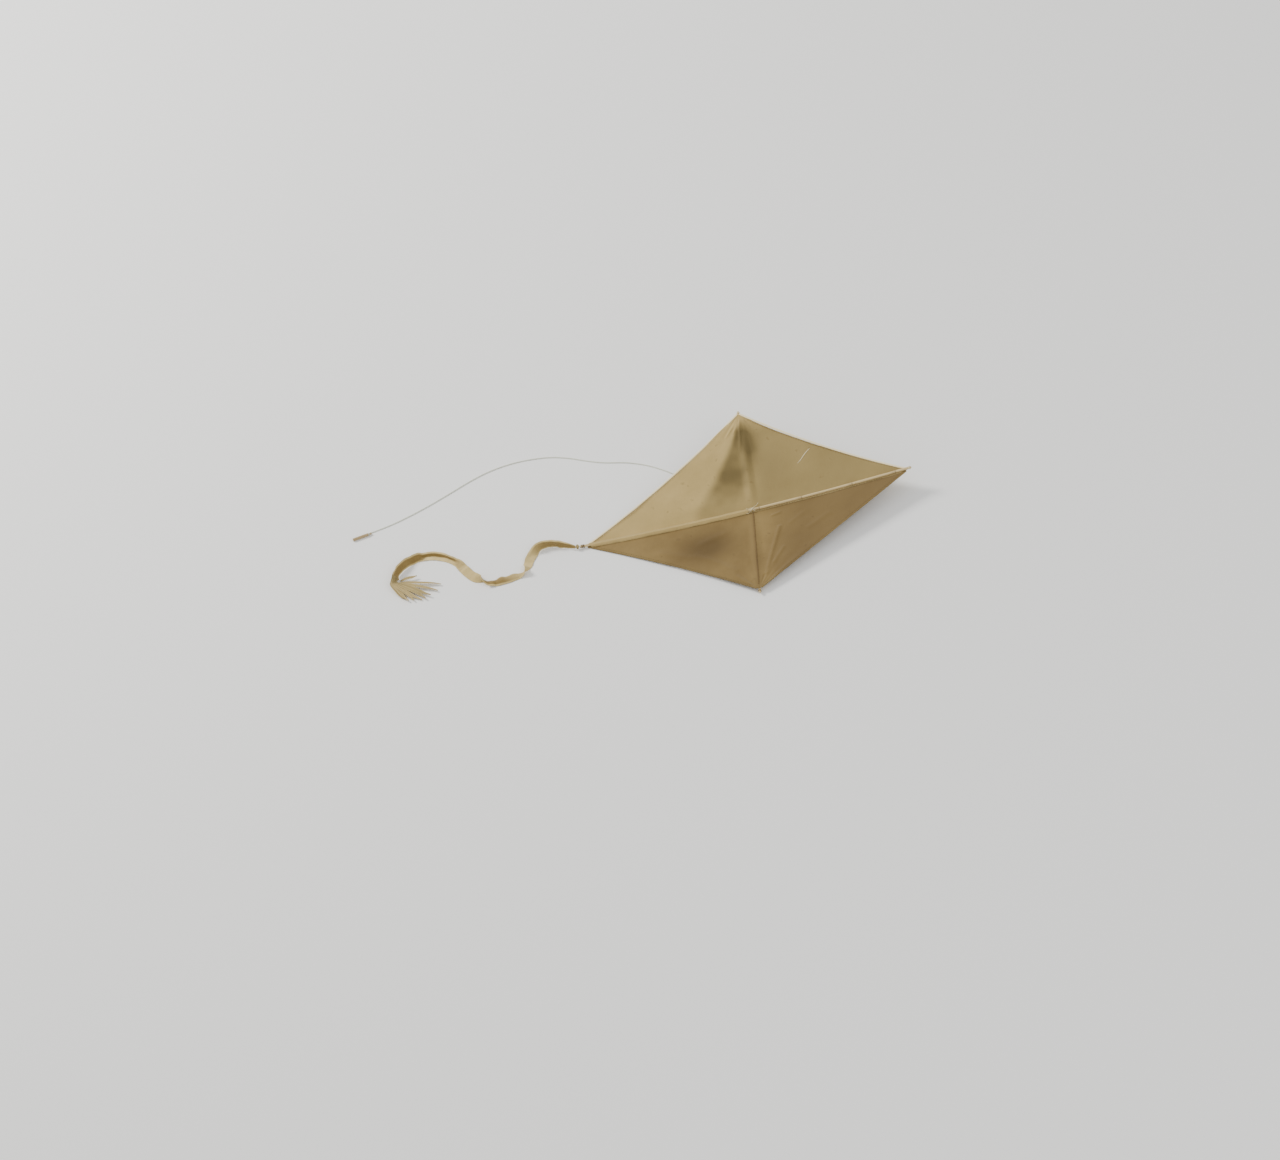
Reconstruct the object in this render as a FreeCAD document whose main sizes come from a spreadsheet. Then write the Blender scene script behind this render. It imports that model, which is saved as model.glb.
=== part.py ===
"""A diamond kite with a bowed spine, a bent cross spar, a ribbon tail and a line on a peg.

It lies as it is put down after a flight: back up, on the crossing of its sticks, its near
wing and its tail corner, with the far wing and the nose in the air. Lengths are in
millimetres and angles in degrees. +X runs to the nose, +Y to the far wing and +Z up. The
origin is on the ground under the crossing of the sticks.

The sticks, the cloth and the hems are drawn in the kite's own frame, flat along the chord
of the spine with the axis of the cross spar at its origin, and rest_place() sets them down.
"""
import FreeCAD, Part
import math
import os
import Sketcher
from FreeCAD import Placement, Rotation, Vector

SIZES = (
    ("nose_length", 436.0, "nose corner to crossing, along the chord of the spine"),
    ("tail_length", 464.0, "crossing to tail corner"),
    ("wing_length", 295.0, "crossing to each wing corner, in plan"),
    ("wing_rise", 49.0, "how far each arm of the cross spar rises to its corner"),
    ("bow_rise", 18.0, "how far the ends of the spine rise above its middle"),
    ("spar_bend", 60.0, "radius of the bend in the middle of the cross spar"),
    ("spine_dia", 7.0, "spine"),
    ("spar_dia", 7.0, "cross spar"),
    ("stick_end", 7.0, "stick that stands out past a corner of the sail"),
    ("tail_stick_end", 12.0, "spine that stands out past the tail corner"),
    ("whip_start", 1.0, "corner of the sail to the whipping of its stick end"),
    ("whip_wall", 1.0, "thread wound round a stick end"),
    ("whip_length", 4.0, "the same, along the stick"),
    ("cloth", 0.8, "sail cloth"),
    ("patch_cloth", 0.5, "patches and seam tape"),
    ("cloth_gap", 0.1, "air between one layer and the next"),
    ("seam_gap", 0.3, "air between neighbouring panels of the sail"),
    ("hem_dia", 4.0, "rolled hem"),
    ("edge_cord_dia", 1.6, "cord inside the hem"),
    ("hem_trim", 10.0, "end of a hem to its corner"),
    ("panel_trim", 16.0, "end of the cloth to a corner"),
    ("scallop", 12.0, "hollow of the nose and tail edges of the far wing"),
    ("near_scallop", 8.0, "hollow of the tail edge of the near wing"),
    ("patch_reach", 52.0, "corner patch, from its corner"),
    ("crossing_reach", 30.0, "round patch at the crossing, its radius"),
    ("tape_width", 14.0, "tape along the spine"),
    ("seam_width", 8.0, "felled seam of the near wing"),
    ("thread_dia", 1.6, "lashing round the crossing"),
    ("thread_air", 0.3, "lashing to the sticks"),
    ("loop_ring", 6.0, "tow loop, middle radius"),
    ("loop_cord", 2.0, "tow loop, thickness"),
    ("line_dia", 2.8, "flying line"),
    ("knot_air", 0.4, "knot to what it turns against"),
    ("line_knot_dia", 4.8, "knot of the line on the tow loop"),
    ("tail_loop_cord", 1.6, "cord loop round the tail end of the spine"),
    ("tail_loop_back", 4.4, "tip of the spine to that loop"),
    ("tail_strand_dia", 1.3, "strands from the loop to the ribbon's knot"),
    ("tail_knot_dia", 16.0, "knot of the ribbon"),
    ("ribbon", 0.9, "thickness of the ribbon"),
    ("ribbon_width", 27.0, "width of the ribbon"),
    ("strip_gap", 0.7, "air between the strips cut in the ribbon's end"),
    ("peg_dia", 8.0, "line peg"),
    ("peg_length", 54.0, "the same, over its head"),
    ("peg_head_dia", 6.0, "round head of the peg"),
    ("peg_neck_dia", 4.0, "neck behind the head"),
    ("peg_neck_length", 3.5, "the same, along the peg"),
    ("hitch_cord", 1.5, "hitch round the neck"),
    ("hitch_knot_dia", 3.4, "knot beside the hitch"),
    ("hitch_side", 4.7, "knot to the middle of the peg, sideways"),
    ("hitch_drop", 2.3, "knot under the middle of the peg"),
)

# The flying line on the ground, from the tow loop to the peg: x, y. A run is one pair to the next.
LINE_ROUTE = (
    (-19.3, 18.8), (-48.0, 52.0), (-86.5, 92.8), (-126.4, 132.1), (-167.6, 170.1),
    (-210.3, 207.7), (-247.5, 238.3), (-290.0, 267.0), (-343.0, 290.5), (-398.5, 303.0),
    (-447.5, 323.5), (-496.5, 349.5), (-550.0, 368.0), (-607.0, 374.0), (-664.0, 371.5),
    (-720.0, 359.0), (-773.0, 336.0), (-824.0, 307.0), (-875.0, 279.0), (-926.0, 254.0),
    (-978.0, 232.0), (-1024.5, 217.5), (-1060.0, 209.3),
)

# The ribbon, from its knot: x, y, share of its full width, turn about its own line in degrees.
RIBBON_ROUTE = (
    (-8.9, 1.0, 0.35, 35.0), (-28.0, 9.0, 0.6, 30.0), (-50.0, 15.5, 0.85, 22.0),
    (-72.0, 20.0, 1.0, 16.0), (-92.0, 20.5, 1.0, 12.0), (-111.0, 14.0, 1.0, 10.0),
    (-126.5, 0.0, 1.0, 6.0), (-136.0, -20.0, 1.0, 0.0), (-142.0, -41.0, 1.0, -8.0),
    (-154.0, -57.0, 1.0, -14.0), (-174.0, -66.0, 1.0, -20.0), (-197.0, -71.0, 1.0, -24.0),
    (-221.0, -73.0, 1.0, -20.0), (-245.0, -70.0, 1.0, -12.0), (-268.0, -61.0, 1.0, 0.0),
    (-288.0, -46.0, 1.0, 12.0), (-304.0, -25.0, 1.0, 20.0), (-316.0, -2.0, 1.0, 18.0),
    (-327.0, 21.0, 1.0, 10.0), (-341.0, 43.0, 1.0, 0.0), (-361.0, 59.0, 1.0, -8.0),
    (-386.0, 71.0, 1.0, -12.0), (-413.0, 77.0, 1.0, -12.0), (-440.0, 76.0, 1.0, -8.0),
    (-466.0, 67.0, 1.0, 0.0), (-487.0, 51.0, 1.0, 6.0), (-500.0, 31.0, 1.0, 4.0),
    (-504.0, 12.0, 1.0, 0.0),
)

# The strips at the ribbon's end: each one's heading in degrees past its bend, and its length there.
STRIPS = (
    (-57.0, 69.0), (-56.0, 83.0), (-53.0, 95.0), (-48.0, 110.0), (-42.0, 119.0),
    (-35.0, 124.0), (-29.0, 132.0), (-20.0, 130.0), (2.0, 55.0),
)

PEG_HEADING = 193.0

UP = Vector(0, 0, 1)
GROUND_AIR = 0.1       # under everything that lies on the ground
BLOCK_FOOT = -100.0    # blocks that cut the layers start under them
BLOCK_HEIGHT = 400.0   # and end over them
FOLD_SLOPE = 13.0      # the cloth beside the spine, where it is steepest
TIP_SHARE = 0.005      # size of the arc that stands for a cone's tip
CORNER_SHARE = 0.45    # share of a run that the arc at its corner takes
RISING_SECTIONS = 3    # of the ribbon, from the knot's middle to the ground

doc = FreeCAD.newDocument("diamond_kite")
sheet = doc.addObject("Spreadsheet::Sheet", "sizes")
subparts = []


def fill_sheet():
    """One row for each size: its value, and what it measures."""
    for row, (alias, number, note) in enumerate(SIZES, start=1):
        sheet.set("A%d" % row, str(number))
        sheet.setAlias("A%d" % row, alias)
        sheet.set("B%d" % row, note)
    doc.recompute()


def size(alias):
    return float(sheet.get(alias))


def keep(item, label, place=None):
    """Lists a finished object as a sub-part and gives it its name and its place."""
    item.Label = label
    if place is not None:
        item.Placement = place
    subparts.append(item)
    return item


def plain(label, shape, place=None):
    """A sub-part with a shape that no primitive or sketch gives."""
    item = doc.addObject("Part::Feature", label + "_shape")
    item.Shape = shape
    return keep(item, label, place)


def primitive(kind, name, place=None, **bound):
    """A Part primitive with its sizes bound to the sheet."""
    item = doc.addObject("Part::" + kind, name)
    for key, expression in bound.items():
        item.setExpression(key, expression)
    if place is not None:
        item.Placement = place
    return item


# ---- where the layers lie in the kite's own frame ----

def slope():
    """Angle of each arm of the cross spar."""
    return math.atan2(size("wing_rise"), size("wing_length"))


def bend_lift():
    """How far the bend holds the middle of the spar above the corner that its arms would make."""
    return size("spar_bend") * (1 / math.cos(slope()) - 1)


def sail_level():
    """Middle of the sail cloth over the crossing."""
    gap = size("cloth_gap")
    return size("spar_dia") / 2 + bend_lift() + gap + size("patch_cloth") + gap + size("cloth") / 2


def spine_level():
    """Axis of the spine at its lowest point, raised so that the sides of the fold clear it."""
    seat = size("spine_dia") / 2 * (1 / math.cos(math.radians(FOLD_SLOPE)) - 1)
    layers = size("cloth") / 2 + size("cloth_gap") + size("patch_cloth") + size("cloth_gap")
    return sail_level() + layers + size("spine_dia") / 2 + seat


def corner_level():
    """Middle of the sail cloth at a wing corner."""
    over_spar = size("spar_dia") / 2 / math.cos(slope()) + size("cloth_gap")
    return size("wing_rise") + over_spar + size("patch_cloth") + size("cloth_gap") + size("cloth") / 2


def bow_half():
    return (size("nose_length") + size("tail_length")) / 2


def bow_middle():
    return size("nose_length") - bow_half()


def bow_radius():
    return (bow_half() ** 2 + size("bow_rise") ** 2) / (2 * size("bow_rise"))


def bow(x):
    """Rise of the spine at x over its lowest point."""
    return bow_radius() - math.sqrt(bow_radius() ** 2 - (x - bow_middle()) ** 2)


def on_sail(x, y, lift=0.0):
    """Point of the sail over (x, y). Each half of it is a cone: straight lines from the wing
    corner to the bowed line under the spine."""
    share = abs(y) / size("wing_length")
    under_spine = sail_level() + bow(x / (1 - share)) if share < 1 else 0.0
    return Vector(x, y, (1 - share) * under_spine + share * corner_level() + lift)


def rest_height():
    """Axis of the cross spar at the crossing, above the ground: the lashing is under it."""
    under = size("spar_dia") / 2 + size("thread_air") + size("thread_dia")
    return under + lashing_reach() * math.sin(slope())


def rest_tilt():
    """Turn about X that lays the near arm down on the thread at its tip."""
    arm = math.hypot(size("wing_length"), size("wing_rise"))
    tip_height = size("spar_dia") / 2 + size("whip_wall")
    return slope() - math.asin((rest_height() - tip_height) / arm)


def rest_pitch():
    """Turn about Y that lays the hems on the ground where they end at the tail corner."""
    end = size("tail_length") - size("hem_trim")
    under = sail_level() + bow(-end) - size("hem_dia") / 2
    return math.atan2(under, end) + math.asin(rest_height() / math.hypot(under, end))


def rest_place():
    pitch = Rotation(Vector(0, 1, 0), -math.degrees(rest_pitch()))
    tilt = Rotation(Vector(1, 0, 0), math.degrees(rest_tilt()))
    return Placement(Vector(0, 0, rest_height()), pitch.multiply(tilt))


# ---- the sticks ----

def body_sketch(body, name, role):
    """A sketch on one of the body's own origin planes."""
    sketch = body.newObject("Sketcher::SketchObject", name)
    plane = [item for item in body.Origin.OriginFeatures if item.Role == role][0]
    sketch.AttachmentSupport = [(plane, "")]
    sketch.MapMode = "FlatFace"
    return sketch


def bind(sketch, expression, kind, *where):
    """A sketch dimension that follows the sheet."""
    index = sketch.addConstraint(Sketcher.Constraint(kind, *where))
    sketch.setExpression("Constraints[%d]" % index, expression)


def make_spine(place):
    """A round stick bent to a bow: its section turned about the middle of the bow."""
    half = "((sizes.nose_length + sizes.tail_length) / 2)"
    radius = "(%s ^ 2 + sizes.bow_rise ^ 2) / (2 * sizes.bow_rise)" % half
    body = doc.addObject("PartDesign::Body", "spine_body")
    sketch = body_sketch(body, "spine_section", "YZ_Plane")
    sketch.addGeometry(Part.Circle(Vector(0, 0, 0), UP, size("spine_dia") / 2))
    sketch.addConstraint(Sketcher.Constraint("Coincident", 0, 3, -1, 1))
    bind(sketch, "sizes.spine_dia", "Diameter", 0, size("spine_dia"))
    side = Vector(size("spine_dia") / 2, 0, 0)
    middle = Vector(0, bow_radius(), 0)
    centre_line = Part.LineSegment(middle - side, middle + side)
    axis = sketch.addGeometry(centre_line, True)
    bind(sketch, radius, "DistanceY", -1, 1, axis, 1, bow_radius())
    bind(sketch, "sizes.spine_dia", "DistanceX", axis, 1, axis, 2, size("spine_dia"))
    sketch.addConstraint(Sketcher.Constraint("Symmetric", axis, 1, axis, 2, -2))
    doc.recompute()
    turn = body.newObject("PartDesign::Revolution", "spine_bow")
    turn.Profile = sketch
    turn.ReferenceAxis = (sketch, ["Axis0"])
    turn.Midplane = True
    reach = "(%s + (sizes.stick_end + sizes.tail_stick_end) / 2)" % half
    turn.setExpression("Angle", "2 * asin(%s / (%s))" % (reach, radius))
    off_middle = (size("stick_end") - size("tail_stick_end")) / 2
    roll = Rotation(Vector(0, 1, 0), -math.degrees(math.asin(off_middle / bow_radius())))
    centre = Placement(Vector(bow_middle(), 0, spine_level() + bow_radius()), roll)
    down = Placement(Vector(0, 0, -bow_radius()), Rotation())
    return keep(body, "spine", place.multiply(centre.multiply(down)))


def make_cross_spar(place):
    """A round stick with one bend over the crossing, both arms straight."""
    reach = size("wing_length") + size("stick_end") * math.cos(slope())
    rise = reach * math.tan(slope())
    half_bend = size("spar_bend") * math.sin(slope())
    foot = half_bend * math.tan(slope())
    near = Part.LineSegment(Vector(0, -reach, rise), Vector(0, -half_bend, foot))
    middle = Part.Arc(Vector(0, -half_bend, foot), Vector(0, 0, bend_lift()), Vector(0, half_bend, foot))
    far = Part.LineSegment(Vector(0, half_bend, foot), Vector(0, reach, rise))
    path = doc.addObject("Part::Feature", "spar_path")
    path.Shape = Part.Wire([near.toShape(), middle.toShape(), far.toShape()])
    start = Placement(Vector(0, -reach, rise), Rotation(UP, Vector(0, math.cos(slope()), -math.sin(slope()))))
    section = primitive("Circle", "spar_section", start, Radius="sizes.spar_dia / 2")
    sweep = doc.addObject("Part::Sweep", "spar_sweep")
    sweep.Sections = [section]
    sweep.Spine = (path, ["Edge1", "Edge2", "Edge3"])
    sweep.Solid = True
    return keep(sweep, "cross_spar", place)


def stick_ends():
    """For each end: its name, the stick's thickness, its corner and the way that it points."""
    nose, tail, wing = size("nose_length"), size("tail_length"), size("wing_length")
    lean = {end: math.asin((end - bow_middle()) / bow_radius()) for end in (nose, -tail)}
    arm = math.cos(slope()), math.sin(slope())
    return (
        ("nose", "spine_dia", Vector(nose, 0, spine_level() + bow(nose)),
         Vector(math.cos(lean[nose]), 0, math.sin(lean[nose]))),
        ("tail", "spine_dia", Vector(-tail, 0, spine_level() + bow(-tail)),
         Vector(-math.cos(lean[-tail]), 0, -math.sin(lean[-tail]))),
        ("far_wing", "spar_dia", Vector(0, wing, size("wing_rise")), Vector(0, arm[0], arm[1])),
        ("near_wing", "spar_dia", Vector(0, -wing, size("wing_rise")), Vector(0, -arm[0], arm[1])),
    )


def make_whippings(place):
    """Thread wound round each stick just past its corner, which keeps the end from splitting."""
    for name, stick, corner, heading in stick_ends():
        start = Placement(corner + heading * size("whip_start"), Rotation(UP, heading))
        outside = primitive("Cylinder", name + "_winding", start, Height="sizes.whip_length",
                            Radius="sizes.%s / 2 + sizes.whip_wall" % stick)
        inside = primitive("Cylinder", name + "_bore", start, Height="sizes.whip_length",
                           Radius="sizes.%s / 2" % stick)
        ring = doc.addObject("Part::Cut", name + "_whipping_cut")
        ring.Base = outside
        ring.Tool = inside
        keep(ring, name + "_whipping", place)


# ---- the sail ----

def corners():
    return {
        "nose": (size("nose_length"), 0.0), "far_wing": (0.0, size("wing_length")),
        "tail": (-size("tail_length"), 0.0), "near_wing": (0.0, -size("wing_length")),
    }


def edges():
    """Each edge of the sail: its name, its two corners and how far it is hollowed."""
    return (
        ("far_nose", "nose", "far_wing", size("scallop")),
        ("far_tail", "far_wing", "tail", size("scallop")),
        ("near_tail", "tail", "near_wing", size("near_scallop")),
        ("near_nose", "near_wing", "nose", 0.0),
    )


def middle_of(start, end, hollow):
    """Middle of an edge, drawn in towards the crossing by its hollow."""
    x, y = (start[0] + end[0]) / 2, (start[1] + end[1]) / 2
    along = Vector(end[0] - start[0], end[1] - start[1], 0).normalize()
    inward = Vector(-along.y, along.x, 0)
    if inward.x * x + inward.y * y > 0:
        inward = inward * -1
    return x + inward.x * hollow, y + inward.y * hollow


def curve(start, middle, end, hollow):
    """The line or arc through three points."""
    if hollow:
        return Part.Arc(start, middle, end).toShape()
    return Part.LineSegment(start, end).toShape()


def upright(face):
    """A plan outline as a tall block, to cut the layers with."""
    block = face.extrude(UP * BLOCK_HEIGHT)
    block.translate(UP * BLOCK_FOOT)
    return block


def column(radius, x, y):
    """A tall round block."""
    return Part.makeCylinder(radius, BLOCK_HEIGHT, Vector(x, y, BLOCK_FOOT))


def sail_outline(inset):
    """Plan of the whole sail, drawn in from the hems' middle by inset, without its corners."""
    at = corners()
    sides = []
    for _, start, end, hollow in edges():
        points = [Vector(p[0], p[1], 0) for p in (at[start], middle_of(at[start], at[end], hollow), at[end])]
        sides.append(curve(points[0], points[1], points[2], hollow))
    outline = Part.Face(Part.Wire(sides).makeOffset2D(-inset))
    block = upright(outline)
    for x, y in at.values():
        block = block.cut(column(size("panel_trim"), x, y))
    return block


def zone(x_low, x_high, y_low, y_high):
    """A tall block over a rectangle of the plan."""
    return Part.makeBox(x_high - x_low, y_high - y_low, BLOCK_HEIGHT, Vector(x_low, y_low, BLOCK_FOOT))


def half_layer(side, low, high):
    """One cone of the sail as a layer between two levels, counted from the middle of the cloth.
    Its rim under the spine is an arc, and a far smaller arc of the same shape stands for the tip."""
    tip = Vector(0, side * size("wing_length"), corner_level())
    rims = []
    for share in (0.0, 1.0 - TIP_SHARE):
        points = []
        for x in (-size("tail_length"), bow_middle(), size("nose_length")):
            point = Vector(x, 0, sail_level() + bow(x))
            points.append(point + (tip - point) * share + Vector(0, 0, low))
        rims.append(Part.Arc(*points).toShape())
    return Part.makeRuledSurface(rims[0], rims[1]).extrude(Vector(0, 0, high - low))


def layer(low, high, *blocks):
    """A layer of cloth on both halves, inside every one of the given blocks, as one solid."""
    halves = []
    for side in (1, -1):
        piece = half_layer(side, low, high)
        for block in blocks:
            piece = piece.common(block)
        if piece.Volume > 0:
            halves.append(piece)
    joined = halves[0] if len(halves) == 1 else halves[0].fuse(halves[1])
    return joined.Solids[0] if len(joined.Solids) == 1 else joined


def lashing_reach():
    """How far out, along X and along Y, each strand of the lashing passes the crossing."""
    stick = max(size("spine_dia"), size("spar_dia")) / 2
    return stick + size("thread_air") + size("thread_dia") / 2


def lashing_holes():
    """The four holes that the lashing passes the cloth through."""
    reach, radius = lashing_reach(), size("thread_dia") / 2 + size("thread_air")
    holes = [column(radius, x, y) for x in (reach, -reach) for y in (reach, -reach)]
    return Part.makeCompound(holes)


def make_sail(place):
    """The far panel in one piece, and the near wing in two with a seam over the spar's near arm."""
    half, far = size("cloth") / 2, 2 * size("wing_length")
    length = size("nose_length") + size("tail_length")
    gap = size("seam_gap") / 2
    outline = sail_outline(size("hem_dia") / 2 + size("cloth_gap"))
    panels = (
        ("sail_far", zone(-length, length, gap, far)),
        ("sail_near_tail", zone(-length, -gap, -far, -gap)),
        ("sail_near_nose", zone(gap, length, -far, -gap)),
    )
    for label, where in panels:
        panel = layer(-half, half, outline, where).cut(lashing_holes())
        plain(label, panel.Solids[0], place)


def make_tapes(place):
    """Over the cloth: tape along the spine, and the felled seam of the near wing."""
    low = size("cloth") / 2 + size("cloth_gap")
    high = low + size("patch_cloth")
    wide, edge = size("tape_width") / 2, size("hem_dia")
    outline = sail_outline(edge)
    length = size("nose_length") + size("tail_length")
    tape = layer(low, high, outline, zone(-length, length, -wide, wide)).cut(lashing_holes())
    plain("spine_tape", tape.Solids[0], place)
    seam = size("seam_width") / 2
    strip = zone(-seam, seam, -2 * size("wing_length"), -wide - size("seam_gap"))
    plain("near_seam", layer(low, high, outline, strip).Solids[0], place)


def make_patches(place):
    """Under the cloth: one patch at each corner and a round one at the crossing."""
    high = -size("cloth") / 2 - size("cloth_gap")
    low = high - size("patch_cloth")
    outline = sail_outline(size("hem_dia"))
    for name, (x, y) in corners().items():
        reach = column(size("patch_reach"), x, y)
        plain(name + "_patch", layer(low, high, outline, reach).Solids[0], place)
    disc = column(size("crossing_reach"), 0, 0)
    plain("crossing_patch", layer(low, high, disc).cut(lashing_holes()).Solids[0], place)


def ring_along(path, outer, inner):
    """A round solid along one edge, hollow if it has an inner radius."""
    start = path.valueAt(path.FirstParameter)
    heading = path.tangentAt(path.FirstParameter)
    section = Part.Face(Part.Wire(Part.makeCircle(outer, start, heading)))
    if inner:
        section = section.cut(Part.Face(Part.Wire(Part.makeCircle(inner, start, heading))))
    return Part.Wire(path).makePipe(section).Solids[0]


def make_hems(place):
    """A rolled hem on each edge, with the edge cord inside it."""
    at = corners()
    cord = size("edge_cord_dia") / 2
    for name, start, end, hollow in edges():
        points = [on_sail(*p) for p in (at[start], middle_of(at[start], at[end], hollow), at[end])]
        whole = curve(points[0], points[1], points[2], hollow)
        trim = size("hem_trim")
        first = whole.getParameterByLength(trim)
        last = whole.getParameterByLength(whole.Length - trim)
        path = whole.Curve.toShape(first, last)
        plain("hem_" + name, ring_along(path, size("hem_dia") / 2, cord + size("cloth_gap") / 2), place)
        plain("edge_cord_" + name, ring_along(path, cord, 0), place)


# ---- lashing, loops and knots ----

def rounded_route(points):
    """Straight runs joined by tangent arcs, as a wire, and the radius of each arc."""
    pieces, radii = [], []
    begin = points[0]
    for before, corner, after in zip(points, points[1:], points[2:]):
        back, ahead = before - corner, after - corner
        short = CORNER_SHARE * min(back.Length, ahead.Length)
        back.normalize()
        ahead.normalize()
        half_turn = (math.pi - back.getAngle(ahead)) / 2
        radius = short / math.tan(half_turn)
        inward = (back + ahead).normalize()
        middle = corner + inward * (radius / math.cos(half_turn) - radius)
        arc_start, arc_end = corner + back * short, corner + ahead * short
        pieces.append(Part.LineSegment(begin, arc_start).toShape())
        pieces.append(Part.Arc(arc_start, middle, arc_end).toShape())
        radii.append(radius)
        begin = arc_end
    pieces.append(Part.LineSegment(begin, points[-1]).toShape())
    return Part.Wire(pieces), radii


def tube(wire, radius):
    start = wire.OrderedEdges[0]
    first = start.valueAt(start.FirstParameter)
    heading = start.tangentAt(start.FirstParameter)
    section = Part.Face(Part.Wire(Part.makeCircle(radius, first, heading)))
    return wire.makePipe(section).Solids[0]


def make_lashing(place):
    """Two rounded loops of thread, one across each diagonal of the crossing."""
    reach, radius = lashing_reach(), size("thread_dia") / 2
    low = -(size("spar_dia") / 2 + size("thread_air") + radius)
    high = spine_level() + bow(0) + size("spine_dia") / 2 + size("thread_air") + radius
    loops = []
    for side in (1, -1):
        plan = [(reach, reach * side), (-reach, -reach * side)]
        upper = [Vector(x, y, high) for x, y in plan]
        lower = [Vector(x, y, low) for x, y in reversed(plan)]
        top = (upper[0] + upper[1]) * 0.5
        wire, _ = rounded_route([top] + [upper[1]] + lower + [upper[0]] + [top])
        loops.append(tube(wire, radius))
    plain("crossing_lashing", loops[0].fuse(loops[1]).Solids[0], place)


def tow_loop_centre():
    """On the ground beside the crossing, at the corner of the lashing that the loop is tied to."""
    radius = size("loop_cord") / 2
    apart = size("thread_dia") / 2 + size("loop_ring") + radius + size("knot_air")
    out = lashing_reach() + apart / math.sqrt(2)
    return Vector(-out, out, radius + GROUND_AIR)


def line_heading():
    """The way from the tow loop to the first point of the line."""
    first = Vector(LINE_ROUTE[0][0], LINE_ROUTE[0][1], 0)
    centre = tow_loop_centre()
    return (first - Vector(centre.x, centre.y, 0)).normalize()


def make_tow_loop():
    centre = Placement(tow_loop_centre(), Rotation())
    loop = primitive("Torus", "tow_loop_ring", centre, Radius1="sizes.loop_ring", Radius2="sizes.loop_cord / 2")
    keep(loop, "tow_loop")


def line_knot_centre():
    out = size("loop_ring") + size("loop_cord") / 2 + size("knot_air") + size("line_knot_dia") / 2
    centre = tow_loop_centre() + line_heading() * out
    return Vector(centre.x, centre.y, size("line_knot_dia") / 2 + GROUND_AIR)


def make_line():
    """The knot at the tow loop and the line along the ground to the hitch of the peg."""
    knot = Placement(line_knot_centre(), Rotation())
    keep(primitive("Sphere", "line_knot_ball", knot, Radius="sizes.line_knot_dia / 2"), "line_knot")
    radius = size("line_dia") / 2
    wire, radii = rounded_route([Vector(x, y, radius + GROUND_AIR) for x, y in LINE_ROUTE])
    line = tube(wire, radius)
    expected = math.pi * radius ** 2 * wire.Length
    print("line: %.0f mm, volume over section times length %.5f" % (wire.Length, line.Volume / expected))
    print("line radii:", [round(r) for r in radii])
    ball = Part.makeSphere(size("line_knot_dia") / 2, line_knot_centre())
    plain("flying_line", line.cut(ball).Solids[0])


def make_peg():
    """A turned wooden peg with a head and a neck, and the hitch with its knot round the neck.
    Both turn about the knot, which lies just past the end of the line."""
    heading = Vector(math.cos(math.radians(PEG_HEADING)), math.sin(math.radians(PEG_HEADING)), 0)
    aside = Vector(-heading.y, heading.x, 0)
    knot_radius = size("hitch_knot_dia") / 2
    end = Vector(LINE_ROUTE[-1][0], LINE_ROUTE[-1][1], 0)
    before = Vector(LINE_ROUTE[-2][0], LINE_ROUTE[-2][1], 0)
    knot = end + (end - before).normalize() * (knot_radius + size("knot_air"))
    neck = size("peg_head_dia") + size("peg_neck_length") / 2
    start = knot + aside * size("hitch_side") - heading * neck
    start.z = size("peg_dia") / 2 + GROUND_AIR
    along = Rotation(UP, heading)
    shaft_start = size("peg_head_dia") + size("peg_neck_length")

    def at(distance):
        return Placement(start + heading * distance, along)

    head = primitive("Sphere", "peg_head", at(size("peg_head_dia") / 2), Radius="sizes.peg_head_dia / 2")
    stem = primitive("Cylinder", "peg_neck", at(size("peg_head_dia") / 2), Radius="sizes.peg_neck_dia / 2",
                     Height="sizes.peg_head_dia / 2 + sizes.peg_neck_length")
    shaft = primitive("Cylinder", "peg_shaft", at(shaft_start), Radius="sizes.peg_dia / 2",
                      Height="sizes.peg_length - sizes.peg_head_dia - sizes.peg_neck_length")
    whole = doc.addObject("Part::MultiFuse", "peg_fuse")
    whole.Shapes = [head, stem, shaft]
    keep(whole, "line_peg")
    cord = size("hitch_cord") / 2
    middle = size("peg_neck_dia") / 2 + size("cloth_gap") + cord
    ring = Part.makeTorus(middle, cord, start + heading * neck, heading)
    ball = Part.makeSphere(knot_radius, Vector(knot.x, knot.y, start.z - size("hitch_drop")))
    plain("peg_hitch", ring.fuse(ball).Solids[0])
    print("peg: knot at %.2f %.2f, middle of the free shaft at %.2f %.2f %.2f" % (
        knot.x, knot.y, *(start + heading * ((shaft_start + size("peg_length")) / 2))))


# ---- the tail ----

def tail_end():
    """The tail corner's stick end in the kite's own frame: its tip, and the way that it points."""
    _, _, corner, heading = stick_ends()[1]
    return corner + heading * size("tail_stick_end"), heading


def make_tail_loop(place):
    """A loop of cord round the spine, with two strands out to the ribbon's knot, cut off round it."""
    tip, heading = tail_end()
    radius = size("tail_loop_cord") / 2
    around = size("spine_dia") / 2 + size("cloth_gap") + radius
    ring_at = tip - heading * size("tail_loop_back")
    whole = Part.makeTorus(around, radius, ring_at, heading)
    knot_radius = size("tail_knot_dia") / 2
    length = size("tail_loop_back") + knot_radius / 2
    for side in (1, -1):
        start = ring_at + Vector(0, side * around, 0)
        whole = whole.fuse(Part.makeCylinder(size("tail_strand_dia") / 2, length, start, heading))
    knot = place.inverse().multVec(tail_knot_centre(place))
    whole = whole.cut(Part.makeSphere(knot_radius + size("knot_air"), knot))
    plain("tail_loop", whole.Solids[0], place)


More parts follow.
